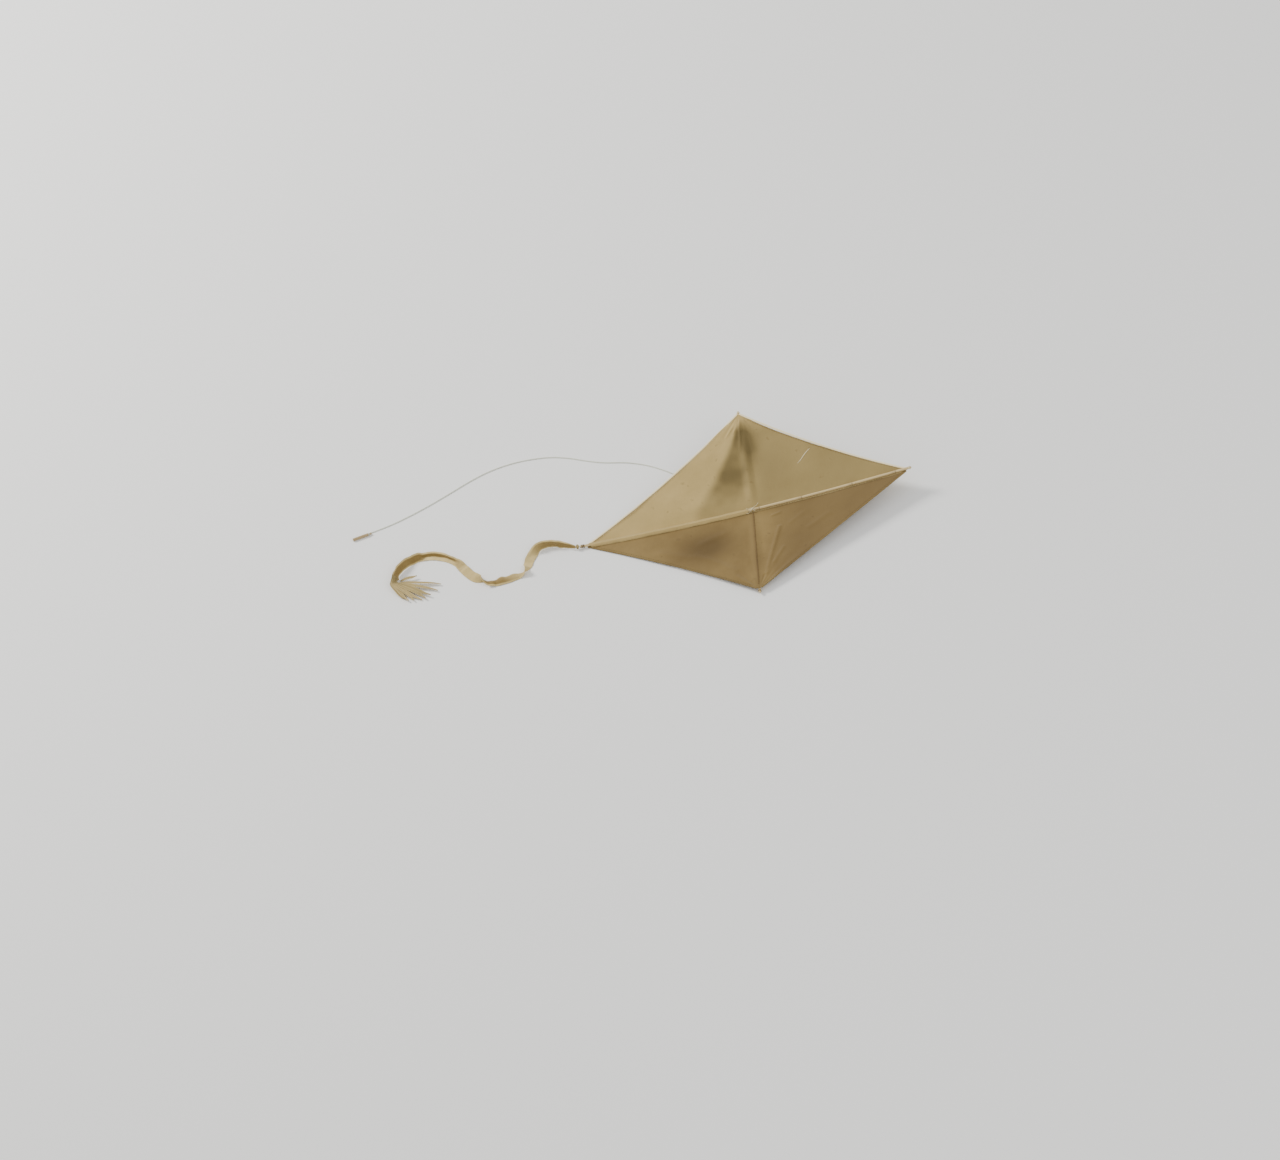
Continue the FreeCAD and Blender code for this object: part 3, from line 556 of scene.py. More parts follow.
# The sleeve's cloth is lightened as painted light, so that its shaded near side reads bright.
LIT_AND_SHADED_SLEEVE_CLOTH = cloth("sleeve_cloth", (216, 190, 128), (204, 178, 117), (150, 126, 80), threads=800.0,
                     shade_and_tone_color=(84, 64, 34))
STRIP_CLOTH = cloth("strip_cloth", (206, 184, 128), (184, 162, 108), (120, 98, 58), threads=850.0,
                    shade_and_tone_color=(120, 104, 62))
BAMBOO = bamboo()
LINE_CORD = cord_finish("line_cord", (232, 234, 216), 1100.0)
ROUTE_CORD = cord_finish("long_line_cord", (232, 234, 216), 700.0, source="Object", dark=0.75)
THREAD = cord_finish("waxed_thread", (112, 88, 50), 1500.0)
LIGHT_THREAD = cord_finish("light_thread", (246, 232, 190), 1500.0, dark=0.7)
PEG_WOOD = wood()


def finish(obj, material, body="kite", replaces=()):
    obj.data.materials.clear()
    obj.data.materials.append(material)
    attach(obj, body)
    if replaces:
        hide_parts(*replaces)
    return obj


def with_tone(obj, values):
    """Adds a mask from 0 to 1, which the material darkens by: mostly painted shade on the cloth, the joints'
    scars on the bamboo. Both faces of a sheet share its values.
    """
    tone = np.clip(np.asarray(values, float), 0, 1).ravel()
    layer = obj.data.attributes.new("tone", "FLOAT", "POINT")
    layer.data.foreach_set("value", np.tile(tone, len(layer.data) // tone.size))
    return obj


# ---- the sail ----
def off_line(x, y, a, b):
    """Signed distance of (x, y) to the left of the line from a to b, and the share of the way along it."""
    a, b = np.array(a), np.array(b)
    d = b - a
    long = np.linalg.norm(d)
    share = ((x - a[0]) * d[0] + (y - a[1]) * d[1]) / long ** 2
    return ((y - a[1]) * d[0] - (x - a[0]) * d[1]) / long, share


# The hollow under the far wing corner, between two lines of plan.
BAND_LEFT = np.array([(-0.172, 0.0), (-0.155, 0.032), (-0.106, 0.10),
                      (-0.049, 0.18), (-0.002, 0.27), (0.0, 0.30)])
BAND_RIGHT = np.array([(0.000, 0.0), (-0.004, 0.036), (0.010, 0.073),
                       (0.036, 0.178), (0.022, 0.27), (0.014, 0.30)])


def across_band(x, y):
    """Where (x, y) is across the hollow: its left side, its right side and the share of the way between."""
    left, right = (np.interp(y, edge[:, 1], edge[:, 0]) for edge in (BAND_LEFT, BAND_RIGHT))
    return left, right, (x - left) / (right - left)


def wrinkles(x, y):
    """Height of the cloth over its smooth cone, in metres: strains from the corners, sags and creases."""
    far = y >= 0
    inside = step(0, 0.02, np.abs(y))
    from_tip = WING - np.abs(y)
    to_tip = np.arctan2(x, from_tip)
    near_tip = np.exp(-(from_tip / 0.10) ** 2) * step(0, 0.03, from_tip)
    fold = np.sin(to_tip * 15 + np.where(far, 0.9, 0.0)) * 0.5 + np.sin(to_tip * 27 + 1.9) * 0.3
    out = 0.0019 * near_tip * fold * np.where(far, 0.55, 1.0)
    sag = np.sin(np.pi * np.clip(np.abs(y) / WING, 0, 1)) * np.exp(-(x / 0.30) ** 2)
    out -= 0.0032 * sag * inside
    broad = noise(x, y, 0.16, 3) * 0.0018 + noise(x + 0.3, y, 0.075, 5) * 0.0011
    fine = noise(x, y, 0.034, 7) * 0.00050 + noise(x, y, 0.017, 9) * 0.00020
    out += (broad + fine) * inside * step(0, 0.05, from_tip)
    left, right, share = across_band(x, y)
    down = step(0.286, 0.245, y) * step(0.0, 0.05, y)
    ridge = np.where(share < 0, np.exp(-((x - left) / 0.085) ** 2), 1.0 - 1.5 * step(0, 0.85, share))
    ridge = np.where(share > 0.85, -0.5, ridge)
    ridge = np.where(share > 1, -0.5 * np.exp(-((x - right) / 0.10) ** 2), ridge)
    return out + np.where(far, 0.0068 * ridge * down, 0)


def gathers(x, y):
    """Tucks under the far wing corner, where the cloth was drawn up and stitched."""
    out = np.zeros_like(x)
    for a, b, depth, wide in (((0.002, 0.268), (-0.009, 0.190), 0.0028, 0.0045),
                              ((-0.018, 0.256), (-0.043, 0.226), 0.0020, 0.0035),
                              ((-0.012, 0.247), (-0.020, 0.236), 0.0016, 0.0030),
                              ((0.016, 0.262), (0.022, 0.205), 0.0016, 0.0070)):
        left, share = off_line(x, y, a, b)
        out += depth * np.exp(-((share - 0.5) / 0.5) ** 4) * np.exp(-(left / wide) ** 2)
    return np.where(y > 0, out, 0)


def creases(x, y):
    """Sharper creases on the near panels, fanning up from the near wing corner."""
    out = np.zeros_like(x)
    for points, depth, wide in (
        (((0.022, -0.240), (0.036, -0.190), (0.052, -0.132), (0.068, -0.082)), 0.0030, 0.0062),
        (((0.046, -0.205), (0.075, -0.160)), 0.0016, 0.0060),
        (((0.050, -0.034), (0.072, -0.030)), 0.0018, 0.0040),
        (((0.100, -0.075), (0.132, -0.055)), 0.0010, 0.0070),
        (((0.150, -0.110), (0.205, -0.080)), 0.0013, 0.0090),
        (((-0.060, -0.205), (-0.120, -0.150), (-0.165, -0.120)), 0.0016, 0.0100),
        (((-0.085, -0.060), (-0.150, -0.080)), 0.0014, 0.0110),
        (((-0.180, -0.120), (-0.260, -0.085)), 0.0014, 0.0110),
    ):
        for a, b in zip(points, points[1:]):
            a, b = np.array(a), np.array(b)
            d = b - a
            t = np.clip(((x - a[0]) * d[0] + (y - a[1]) * d[1]) / (d @ d), 0, 1)
            off = np.hypot(x - a[0] - d[0] * t, y - a[1] - d[1] * t)
            out = np.maximum(out, depth * np.exp(-(off / wide) ** 2))
    return np.where(y < 0, out, 0)


def sail_point(x, y, lift=0.0):
    """The cloth over (x, y), wrinkled, set down on the floor."""
    clear = step(0, 0.012, np.abs(y)) * step(0.0, 0.02, WING - np.abs(y))
    over_spar = step(0.0, 0.020, np.abs(x))
    rise = wrinkles(x, y) * clear
    rise = np.where(rise > 0, rise, rise * over_spar) + (gathers(x, y) + creases(x, y)) * clear
    return set_down(np.stack([x, y, sail_height(x, y) + rise + lift], -1))


def inset_edge(name, shares, inset):
    """An edge's plan drawn in from the hem by inset."""
    points = edge_plan(name, shares)
    ahead = unit(np.gradient(points, axis=0))
    inward = np.stack([-ahead[:, 1], ahead[:, 0]], -1)
    inward[(inward * points).sum(1) > 0] *= -1
    return points + inward * inset


CLOTH_HALF = 0.00028


def between(left, right, across):
    """The x and y of a grid of plan between two lines of plan."""
    u = np.linspace(0, 1, across)[None, :, None]
    plan = left[:, None] * (1 - u) + right[:, None] * u
    return plan[..., 0], plan[..., 1]


def cloth_over(name, x, y, low, high):
    """A closed piece of cloth over a grid of plan, from low to high over the middle of the sail."""
    return thick_grid(name, sail_point(x, y, low), sail_point(x, y, high), np.stack([x, y], -1))


def make_panel(name, left, right, material, node, cols=300):
    """A panel between two lines of plan, left and right, each given as points from spine to wing."""
    x, y = between(left, right, cols)
    return finish(cloth_over(name, x, y, -CLOTH_HALF, CLOTH_HALF), material, "kite", [node]), x, y


def spaced_plan(line, ys):
    """The x of a line of plan at each y."""
    order = np.argsort(line[:, 1])
    return np.stack([np.interp(ys, line[order, 1], line[order, 0]), ys], -1)


def make_sail():
    """The far panel, and the two near panels either side of the seam over the spar."""
    edges = {name: inset_edge(name, np.linspace(0, 1, 241), 0.0016) for name in EDGES}
    rows = np.concatenate([np.linspace(0.00015, 0.24, 120), np.linspace(0.2418, 0.2915, 40)])
    seam = np.stack([np.full(len(rows), 0.00012), -rows], -1)

    left, right = spaced_plan(edges["far_tail"], rows), spaced_plan(edges["far_nose"], rows)
    far, x, y = make_panel("far_panel", left, right, FAR_CLOTH, "sail_far")
    # Painted shade: the tone darkens the hollow under the far wing corner, most near its top, and the cloth to
    # its right, in uneven patches.
    _, _, share = across_band(x, y)
    shade_patches = np.clip(0.80 + 0.14 * noise(x, y, 0.050, 16) + 0.10 * noise(x, y, 0.02, 17), 0.25, 0.98)
    tone = shade_patches * step(-0.06, 0.22, share) * step(1.25, 0.65, share)
    tone = tone * step(0.285, 0.235, y) * (0.55 + 0.45 * step(0.02, 0.12, y))
    tone += 0.40 * np.exp(-((x - 0.018) / 0.022) ** 2 - ((y - 0.205) / 0.055) ** 2)
    tone += 0.12 * np.exp(-((x + 0.045) / 0.030) ** 2 - ((y - 0.115) / 0.045) ** 2)
    beyond = step(0.75, 1.25, share) * step(0.28, 0.22, y)
    with_tone(far, tone + (0.56 + 0.12 * noise(x, y, 0.09, 19)) * beyond)

    right = spaced_plan(edges["near_nose"], -rows)
    nose, x, y = make_panel("near_nose_panel", seam, right, SHADED_NEAR_CLOTH, "sail_near_nose", cols=170)
    # Painted shade: darker towards the nose, near the wing corner and along the seam.
    tone = 0.30 * step(0.02, 0.16, x) + 0.20 * step(0.25, 0.02, x) * step(-0.02, -0.2, y)
    with_tone(nose, tone + 0.35 * step(0.0, 0.09, x) + 0.3 * np.exp(-(x / 0.008) ** 2))

    left, right = spaced_plan(edges["near_tail"], -rows), seam * (-1, 1)
    tail, x, y = make_panel("near_tail_panel", left, right, SHADED_NEAR_CLOTH, "sail_near_tail", cols=190)
    # Painted shade: a shadow in the middle of the panel, a line along the seam and a little all over.
    tone = 0.95 * np.exp(-((x + 0.135) / 0.085) ** 2 - ((y + 0.095) / 0.060) ** 2)
    with_tone(tail, tone + 0.3 * np.exp(-(x / 0.008) ** 2) + 0.15)
    return far, nose, tail


far_panel, near_nose_panel, near_tail_panel = make_sail()


# ---- hems ----
def hem_line(name, ends):
    """The middle of a hem, which stops short of both corners by ends."""
    plan = edge_plan(name, np.linspace(0, 1, 261))
    run = distance_along(plan)
    at = np.linspace(ends, run[-1] - ends, 261)
    x, y = (np.interp(at, run, plan[:, k]) for k in (0, 1))
    return np.stack([x, y, sail_height(x, y)], -1)


def make_hem(name):
    """A rolled hem, whose radius swells and shrinks a little between its stitches. The far ones are flatter."""
    # Painted light: the far hems take a lightened cloth, the near hems a darkened one.
    if name.startswith("far"):
        material, ends, wide, squash = HEM_CLOTH, 0.006, 1.40, 0.55
    else:
        material, ends, wide, squash = SHADED_NEAR_HEM_CLOTH, 0.010, 0.97, 1.0
    line = hem_line(name, ends)
    run = distance_along(line)
    swell = 1 + 0.06 * np.sin(run * 2 * np.pi / 0.011) + 0.05 * noise(run, 0 * run, 0.02, 21)
    obj = tube_mesh("hem_roll_" + name, set_down(line), HEM * swell * wide, sides=22, squash=squash)
    return finish(obj, material, "kite", ["hem_" + name, "edge_cord_" + name])


hems = {name: make_hem(name) for name in EDGES}


# Share of a stitch's radius at each of its rings, from one end to the other.
STITCH = np.array([0.35, 0.85, 1, 1, 1, 0.85, 0.35])
STITCH_SINK = 0.25


def stitches(name, line, normal, length, gap, radius, material):
    """Running stitches: a short arched bit of thread in every space along a line, all one piece."""
    run = distance_along(line)
    rings, sides = len(STITCH), 6
    arch = np.sin(np.linspace(0, np.pi, rings))[:, None]
    points, faces, uv = [], [], []
    start = gap
    while start + length < run[-1]:
        at = np.linspace(start, start + length, rings)
        p, n = (np.stack([np.interp(at, run, v[:, k]) for k in range(3)], -1) for v in (line, normal))
        p = p + n * radius * (arch * (1 + STITCH_SINK) - STITCH_SINK)
        along = unit(np.gradient(p, axis=0))
        side = unit(np.cross(n, along))
        faces += tube_faces(rings, sides, first=len(points) * rings * sides)
        points.append(rings_around(p, side, np.cross(along, side), radius * STITCH, sides).reshape(-1, 3))
        uv.append(ring_uv(at - start, sides))
        start += length + gap
    obj = mesh_object(name, np.concatenate(points), faces, np.concatenate(uv))
    return finish(obj, material)


def surface_line(plan, lift):
    """A line on the cloth and the cloth's normals along it."""
    x, y = plan[:, 0], plan[:, 1]
    e = 1e-4
    p = sail_point(x, y, lift)
    n = unit(np.cross(sail_point(x + e, y, lift) - p, sail_point(x, y + e, lift) - p))
    n[n[:, 2] < 0] *= -1
    return p, n


for edge in EDGES:
    line, normal = surface_line(inset_edge(edge, np.linspace(0.05, 0.95, 300), 0.0052), CLOTH_HALF)
    stitches("hem_stitches_" + edge, line, normal, 0.0045, 0.0032, 0.00038,
             LIGHT_THREAD if edge == "far_tail" else THREAD)


# ---- tape, seam and patches ----
def make_strip(name, left, right, low, high, material, node, puff=0.0):
    """A band of cloth between two lines of plan, from low to high over the middle of the sail."""
    x, y = between(left, right, 9)
    arch = puff * np.sin(np.pi * np.linspace(0, 1, 9))[None, :]
    obj = with_tone(cloth_over(name, x, y, low, high + arch), 0 * x)
    return finish(obj, material, "kite", [node])


def make_tape():
    """Cotton tape along the spine under the stick, its edges a little wavy."""
    x = np.linspace(-TAIL + 0.014, NOSE - 0.014, 420)
    reach = np.minimum(0.0070, 0.9 * (np.minimum(x + TAIL, NOSE - x) - 0.008) * 0.55)
    wave = 0.0006 * noise(x, 0 * x, 0.03, 33)
    left, right = (np.stack([x, side * reach + wave], -1) for side in (1, -1))
    return make_strip("spine_tape_cloth", left, right, 0.0004, 0.00085, TAPE_CLOTH, "spine_tape")


def make_seam():
    """Felled seam over the near arm of the spar, in a darkened cloth: a painted shadow line along the crease.
    """
    y = -np.linspace(0.0073, WING - 0.020, 200)
    wave = 0.0005 * noise(y, 0 * y, 0.02, 35)
    left, right = (np.stack([offset + wave, y], -1) for offset in (-0.0015, 0.0015))
    return make_strip("near_seam_cloth", left, right, 0.0003, 0.0007, SHADED_SEAM_CLOTH, "near_seam", puff=0.0005)


spine_tape = make_tape()
near_seam = make_seam()

for name, offset in (("seam_stitches_nose", 0.0014), ("seam_stitches_tail", -0.0014)):
    ys = -np.linspace(0.012, 0.270, 240)
    line, normal = surface_line(np.stack([np.full(240, offset), ys], -1), 0.0009)
    stitches(name, line, normal, 0.0035, 0.0024, 0.0003, THREAD)

for name, offset in (("tape_stitches_far", 0.0058), ("tape_stitches_near", -0.0058)):
    xs = np.linspace(-TAIL + 0.05, NOSE - 0.05, 500)
    line, normal = surface_line(np.stack([xs, np.full(500, offset)], -1), 0.00095)
    stitches(name, line, normal, 0.0040, 0.0030, 0.0003, THREAD)


# ---- the sticks ----
def spine_axis(x):
    return np.stack([x, 0 * x, SPINE_LEVEL + bow(x)], -1)


def stick_mesh(name, line, joints, node, seed):
    """A bamboo stick: a slight taper, a raised ring and a scar at each of its joints, a scraped surface."""
    run = distance_along(line)
    r = np.full(len(line), STICK) * (0.985 + 0.02 * noise(run, 0 * run, 0.05, seed))
    tone = np.zeros(len(line))
    for at in joints:
        d = run - at
        r += STICK * (0.10 * np.exp(-(d / 0.0022) ** 2) - 0.06 * np.exp(-((d - 0.0045) / 0.0016) ** 2))
        tone += 0.75 * np.exp(-((d - 0.0018) / 0.0011) ** 2) + 0.25 * np.exp(-((d + 0.004) / 0.006) ** 2)
    sides, k = 28, len(DOME)
    obj = tube_mesh(name, set_down(line), np.minimum(r, STICK * 1.08), sides=sides)
    tone = np.concatenate([np.repeat(tone[:1], k), tone, np.repeat(tone[-1:], k)])
    with_tone(obj, np.repeat(tone, sides))
    return finish(obj, BAMBOO, "kite", [node])


# How far along each stick its joints are.
SPINE_JOINTS = (0.052, 0.196, 0.338, 0.492, 0.610, 0.752, 0.874)
SPAR_JOINTS = (0.094, 0.208, 0.395, 0.520)


def make_sticks():
    """The bowed spine, and the spar, whose arms rise from a short bend of that radius at the crossing."""
    x = np.linspace(-TAIL - 0.0105, NOSE + 0.0055, 640)
    spine = stick_mesh("bamboo_spine", spine_axis(x), SPINE_JOINTS, "spine", 41)
    y = np.linspace(-WING - 0.0055, WING + 0.0055, 460)
    bend = 0.060
    rise = np.where(np.abs(y) < bend * math.sin(SLOPE),
                    bend / math.cos(SLOPE) - np.sqrt(np.maximum(bend ** 2 - y ** 2, 0)),
                    np.abs(y) * math.tan(SLOPE))
    spar = stick_mesh("bamboo_spar", np.stack([0 * y, y, rise], -1), SPAR_JOINTS, "cross_spar", 43)
    return spine, spar


spine, spar = make_sticks()


def whipping(end, corner, heading, material, turns=5, wire=0.00042):
    """Thread wound side by side round a stick end, as one helix."""
    t = np.linspace(0, turns, turns * 28)
    side = unit(np.cross(heading, (0, 1, 0) if abs(heading[1]) < 0.9 else (1, 0, 0)))
    third = np.cross(heading, side)
    radius, length = STICK + 0.0004, 2 * wire * turns
    angle = (t * 2 * np.pi)[:, None]
    line = (corner + heading * (0.003 + (t / turns - 0.5) * (length - 2 * wire))[:, None]
            + radius * (side * np.cos(angle) + third * np.sin(angle)))
    obj = tube_mesh(end + "_winding", set_down(line), wire * 1.02, sides=10, up=tuple(heading + 0.01))
    return finish(obj, material, "kite", [end + "_whipping"])


def spine_end(x):
    """A corner at an end of the spine, and the way that the spine heads there."""
    lean, way = math.asin((x - BOW_MIDDLE) / BOW_RADIUS), math.copysign(1, x)
    return (np.array([x, 0, SPINE_LEVEL + float(bow(x))]),
            np.array([way * math.cos(lean), 0, way * math.sin(lean)]))


def make_whippings():
    for end, x in (("nose", NOSE), ("tail", -TAIL)):
        whipping(end, *spine_end(x), LIGHT_THREAD if x > 0 else THREAD)
    for end, way in (("far_wing", 1), ("near_wing", -1)):
        heading = np.array([0, way * math.cos(SLOPE), math.sin(SLOPE)])
        whipping(end, np.array([0, way * WING, WING_RISE]), heading, LIGHT_THREAD if way > 0 else THREAD)


make_whippings()


# ---- sleeve over the tail half of the spine ----
def make_sleeve():
    """Cloth sewn down over the stick: its height over the sail is H exp(-(y / 5.2 mm) ** 3)."""
    x = np.linspace(-TAIL + 0.012, -0.013, 460)[:, None]
    u = np.linspace(-1, 1, 41)[None, :]
    reach = np.minimum(0.0084, 0.62 * (x + TAIL - 0.006)) * (1 + 0.08 * noise(x, 0 * x, 0.022, 51))
    y = reach * u
    crown = SPINE_LEVEL + STICK + 0.0005 - SAIL_LEVEL - 0.0004
    crown = crown * (1 + 0.030 * noise(x, 0 * x, 0.018, 53) + 0.02 * noise(x, 0 * x, 0.009, 54))
    rise = crown * np.exp(-(np.abs(y) / 0.0052) ** 3)
    rise = rise + 0.0004 * noise(x, y * 2, 0.008, 55) * np.abs(u)
    x = x + 0 * u
    base = sail_height(x, np.where(np.abs(y) < 1e-6, 1e-6, y)) + 0.0004
    low = set_down(np.stack([x, y, base + rise], -1))
    high = set_down(np.stack([x, y, base + rise + 0.0005], -1))
    obj = thick_grid("spine_sleeve_cloth", low, high, np.stack([x, y * 1.5], -1))
    # Painted shade: the tone darkens the crest and the far side, and a line along the near edge.
    tone = 0.34 * step(-0.35, 0.10, u) + 0.30 * step(-0.62, -0.80, u) + 0 * x
    return finish(with_tone(obj, tone), LIT_AND_SHADED_SLEEVE_CLOTH)


sleeve = make_sleeve()


# ---- patches under the cloth ----
PATCH_LOW, PATCH_HIGH = -0.00095, -0.00045


def make_patch(corner, x, y, material):
    obj = with_tone(cloth_over(corner + "_patch_cloth", x, y, PATCH_LOW, PATCH_HIGH), 0 * x)
    return finish(obj, material, "kite", [corner + "_patch"])


def make_corner_patch(corner, first, second, material):
    """Cloth under a corner, between its two hems: rings of arcs about the corner itself."""
    cx, cy = CORNERS[corner]
    radius = np.linspace(0.0165, 0.0515, 14)[:, None]
    rays = []
    for edge in (first, second):
        at_start = EDGES[edge][0] == corner
        shares = np.linspace(0, 0.3, 120) if at_start else np.linspace(1, 0.7, 120)
        line = inset_edge(edge, np.sort(shares), 0.0045)
        line = line if at_start else line[::-1]
        away = np.hypot(line[:, 0] - cx, line[:, 1] - cy)
        rays.append(np.arctan2(np.interp(radius[:, 0], away, line[:, 1]) - cy,
                               np.interp(radius[:, 0], away, line[:, 0]) - cx))
    a, b = rays
    turn = (b - a + np.pi) % (2 * np.pi) - np.pi
    u = np.linspace(0, 1, 25)[None, :]
    angle = a[:, None] + turn[:, None] * u
    return make_patch(corner, cx + radius * np.cos(angle), cy + radius * np.sin(angle), material)


def make_crossing_patch():
    """A round patch: a square of points drawn out to a disc."""
    a = np.linspace(-1, 1, 33)
    u, v = np.meshgrid(a, a, indexing="ij")
    radius = 0.0297
    y = radius * v * np.sqrt(1 - u * u / 2)
    y = np.where(np.abs(y) < 1e-6, 1e-6, y)
    return make_patch("crossing", radius * u * np.sqrt(1 - v * v / 2), y, FAR_CLOTH)


patches = [
    make_corner_patch("nose", "near_nose", "far_nose", FAR_CLOTH),
    make_corner_patch("far_wing", "far_nose", "far_tail", FAR_CLOTH),
    make_corner_patch("tail", "far_tail", "near_tail", FAR_CLOTH),
    make_corner_patch("near_wing", "near_tail", "near_nose", SHADED_NEAR_CLOTH),
    make_crossing_patch(),
]


# ---- lashing, loops and knots ----
def rounded_loop(corners, share=0.42, count=12):
    """A closed line through the corners, each one rounded by a curve of the second degree."""
    p = np.asarray(corners, float)
    out = []
    for before, here, after in zip(np.roll(p, 1, 0), p, np.roll(p, -1, 0)):
        a, b = here + (before - here) * share, here + (after - here) * share
        t = np.linspace(0, 1, count)[:, None]
        out.append((1 - t) ** 2 * a + 2 * t * (1 - t) * here + t ** 2 * b)
    return np.concatenate(out)


def make_lashing():
    """Turns of thread over both diagonals of the crossing, and its two loose ends."""
    reach, low, high = 0.0046, -0.0046, 0.01470
    parts = []
    for side in (1, -1):
        for turn in (-1, 0, 1):
            shift = np.array([0.00075 * turn, -0.00075 * turn * side, 0])
            lift = 0.00035 * (side + 1) + 0.0001 * turn
            corners = [(reach, reach * side, high + lift), (-reach, -reach * side, high + lift),
                       (-reach, -reach * side, low), (reach, reach * side, low)]
            line = rounded_loop(np.array(corners) + shift)
            parts.append(tube_mesh("turn", set_down(line), 0.00044, sides=10, closed=True,
                                   up=(side * 0.7, -0.7, 0.05)))
    ends = (
        ((0.0030, 0.0035, 0.0150), (0.0075, 0.0085, 0.0112),
         (0.0120, 0.0130, 0.0092), (0.0170, 0.0185, 0.0098)),
        ((-0.0035, 0.0030, 0.0150), (-0.0085, 0.0060, 0.0110),
         (-0.0135, 0.0075, 0.0080), (-0.0185, 0.0110, 0.0084)),
        ((-0.0035, -0.0030, 0.0150), (-0.0090, -0.0065, 0.0110),
         (-0.0150, -0.0085, 0.0082), (-0.0190, -0.0070, 0.0090)),
    )
    for points in ends:
        parts.append(tube_mesh("end", set_down(smooth_line(points, 26)), 0.00048, sides=9))
    lashing = joined("crossing_lashing_thread", parts)
    return finish(lashing, LIGHT_THREAD, "kite", ["crossing_lashing"])


def trefoil(centre, radius, count=120, squash=0.55, turn=0.0):
    """The line of an overhand knot drawn tight, as a trefoil of that radius."""
    t = np.linspace(0, 2 * np.pi, count, endpoint=False)
    x, y = np.sin(t) + 2 * np.sin(2 * t), np.cos(t) - 2 * np.cos(2 * t)
    p = np.stack([x, y, -np.sin(3 * t) * 3 * squash], -1) / 3 * radius
    c, s = math.cos(turn), math.sin(turn)
    p = np.stack([p[:, 0] * c - p[:, 1] * s, p[:, 0] * s + p[:, 1] * c, p[:, 2]], -1)
    return p + np.asarray(centre)


def knot_mesh(name, centre, radius, cord, turn=0.0):
    line = trefoil(centre, radius - cord, turn=turn)
    return tube_mesh(name, line, cord, sides=12, closed=True, up=(0.3, 0.2, 1))


def make_tow_loop():
    centre, ahead, side = np.array([-0.0104, 0.0104, 0.0011]), np.array([1.0, 0, 0]), np.array([0, 1.0, 0])
    line = circle(centre, ahead, side, 0.006, 96)
    obj = tube_mesh("tow_loop_cord", line, 0.001, sides=14, closed=True)
    return finish(obj, LINE_CORD, "kite", ["tow_loop"])


def make_tail_loop():
    """Two turns round the end of the spine, and two strands out to the ribbon's knot."""
    corner, heading = spine_end(-TAIL)
    side = np.array([0, 1.0, 0])
    third = np.cross(heading, side)
    parts = []
    for offset in (0.0069, 0.0083):
        ring = circle(corner + heading * offset, side, third, 0.0043)
        turn = tube_mesh("turn", set_down(ring), 0.00072, sides=10, closed=True, up=(1.0, 0.01, 0.01))
        parts.append(turn)
    for way in (1, -1):
        points = [corner + heading * out + side * way * apart
                  for out, apart in ((0.0076, 0.0044), (0.0110, 0.0042), (0.0138, 0.0030))]
        parts.append(tube_mesh("strand", set_down(smooth_line(points, 14)), 0.0006, sides=10))
    return finish(joined("tail_loop_thread", parts), THREAD, "kite", ["tail_loop"])


crossing_lashing = make_lashing()
tow_loop = make_tow_loop()
tail_loop = make_tail_loop()
LINE_START = (-0.0175, 0.0171, 0.0025)
line_knot = finish(knot_mesh("line_knot_cord", LINE_START, 0.0026, 0.0010), LINE_CORD,
                   "line", ["line_knot"])


# ---- mend on the far panel ----
def make_mend():
    """A short darn: a light seam of close stitches laid across a healed tear."""
    t = np.linspace(0, 1, 90)
    plan = np.stack([0.1396 + 0.038 * t + 0.0010 * np.sin(7 * t), 0.1073 + 0.0325 * t], -1)
    line, _ = surface_line(plan, CLOTH_HALF)
    radii = 0.0012 * np.sin(np.pi * np.linspace(0.06, 0.94, 90)) ** 0.5
    return finish(tube_mesh("mend_thread", line, radii, sides=10), LIGHT_THREAD)


mend = make_mend()


# ---- peg ----
PEG_START = np.array([-1.053441, 0.205994, 0.0041])
PEG_WAY = np.array([math.cos(math.radians(193.0)), math.sin(math.radians(193.0)), 0.0])
PEG_SIDE, PEG_UP = np.array([-PEG_WAY[1], PEG_WAY[0], 0]), np.array([0, 0, 1.0])


def make_peg():
    """A turned peg: its outline, radius over distance, goes once round its axis."""
    body, tip, groove = 0.0040, 0.0002, 0.00372
    head = [(0.003 - 0.003 * math.cos(a), 0.003 * math.sin(a)) for a in np.linspace(0.05, 2.32, 22)]
    neck = [(0.0058, 0.00202), (0.0068, 0.0020), (0.0086, 0.0020), (0.0091, 0.0022)]
    shoulder = [(0.0095 + 0.0007 * (1 - math.cos(a)), 0.0033 + 0.0007 * math.sin(a))
                for a in np.linspace(0, 1.57, 7)]
    grooves = [(at + d, r) for at in (0.0140, 0.0170)
               for d, r in ((0, body), (0.0003, groove), (0.0008, groove), (0.0011, body))]
    shaft = [(s, body) for s in np.linspace(0.021, 0.0525, 24)]
    foot = [(0.0530 + 0.0010 * math.sin(a), 0.0030 + 0.0010 * math.cos(a)) for a in np.linspace(0, 1.57, 8)]
    outline = np.array(head + neck + shoulder + grooves + shaft + foot + [(0.0540, 0.0015), (0.0540, tip)])
    outline[0, 1] = tip
    rows, sides = len(outline), 40
    side, up = (np.tile(v, (rows, 1)) for v in (PEG_SIDE, PEG_UP))
    rings = rings_around(PEG_START + PEG_WAY * outline[:, :1], side, up, outline[:, 1], sides)
    uv = ring_uv(outline[:, 0], sides)
    obj = mesh_object("turned_peg", rings.reshape(-1, 3), tube_faces(rows, sides), uv)
    return finish(obj, PEG_WOOD, "peg", ["line_peg"])


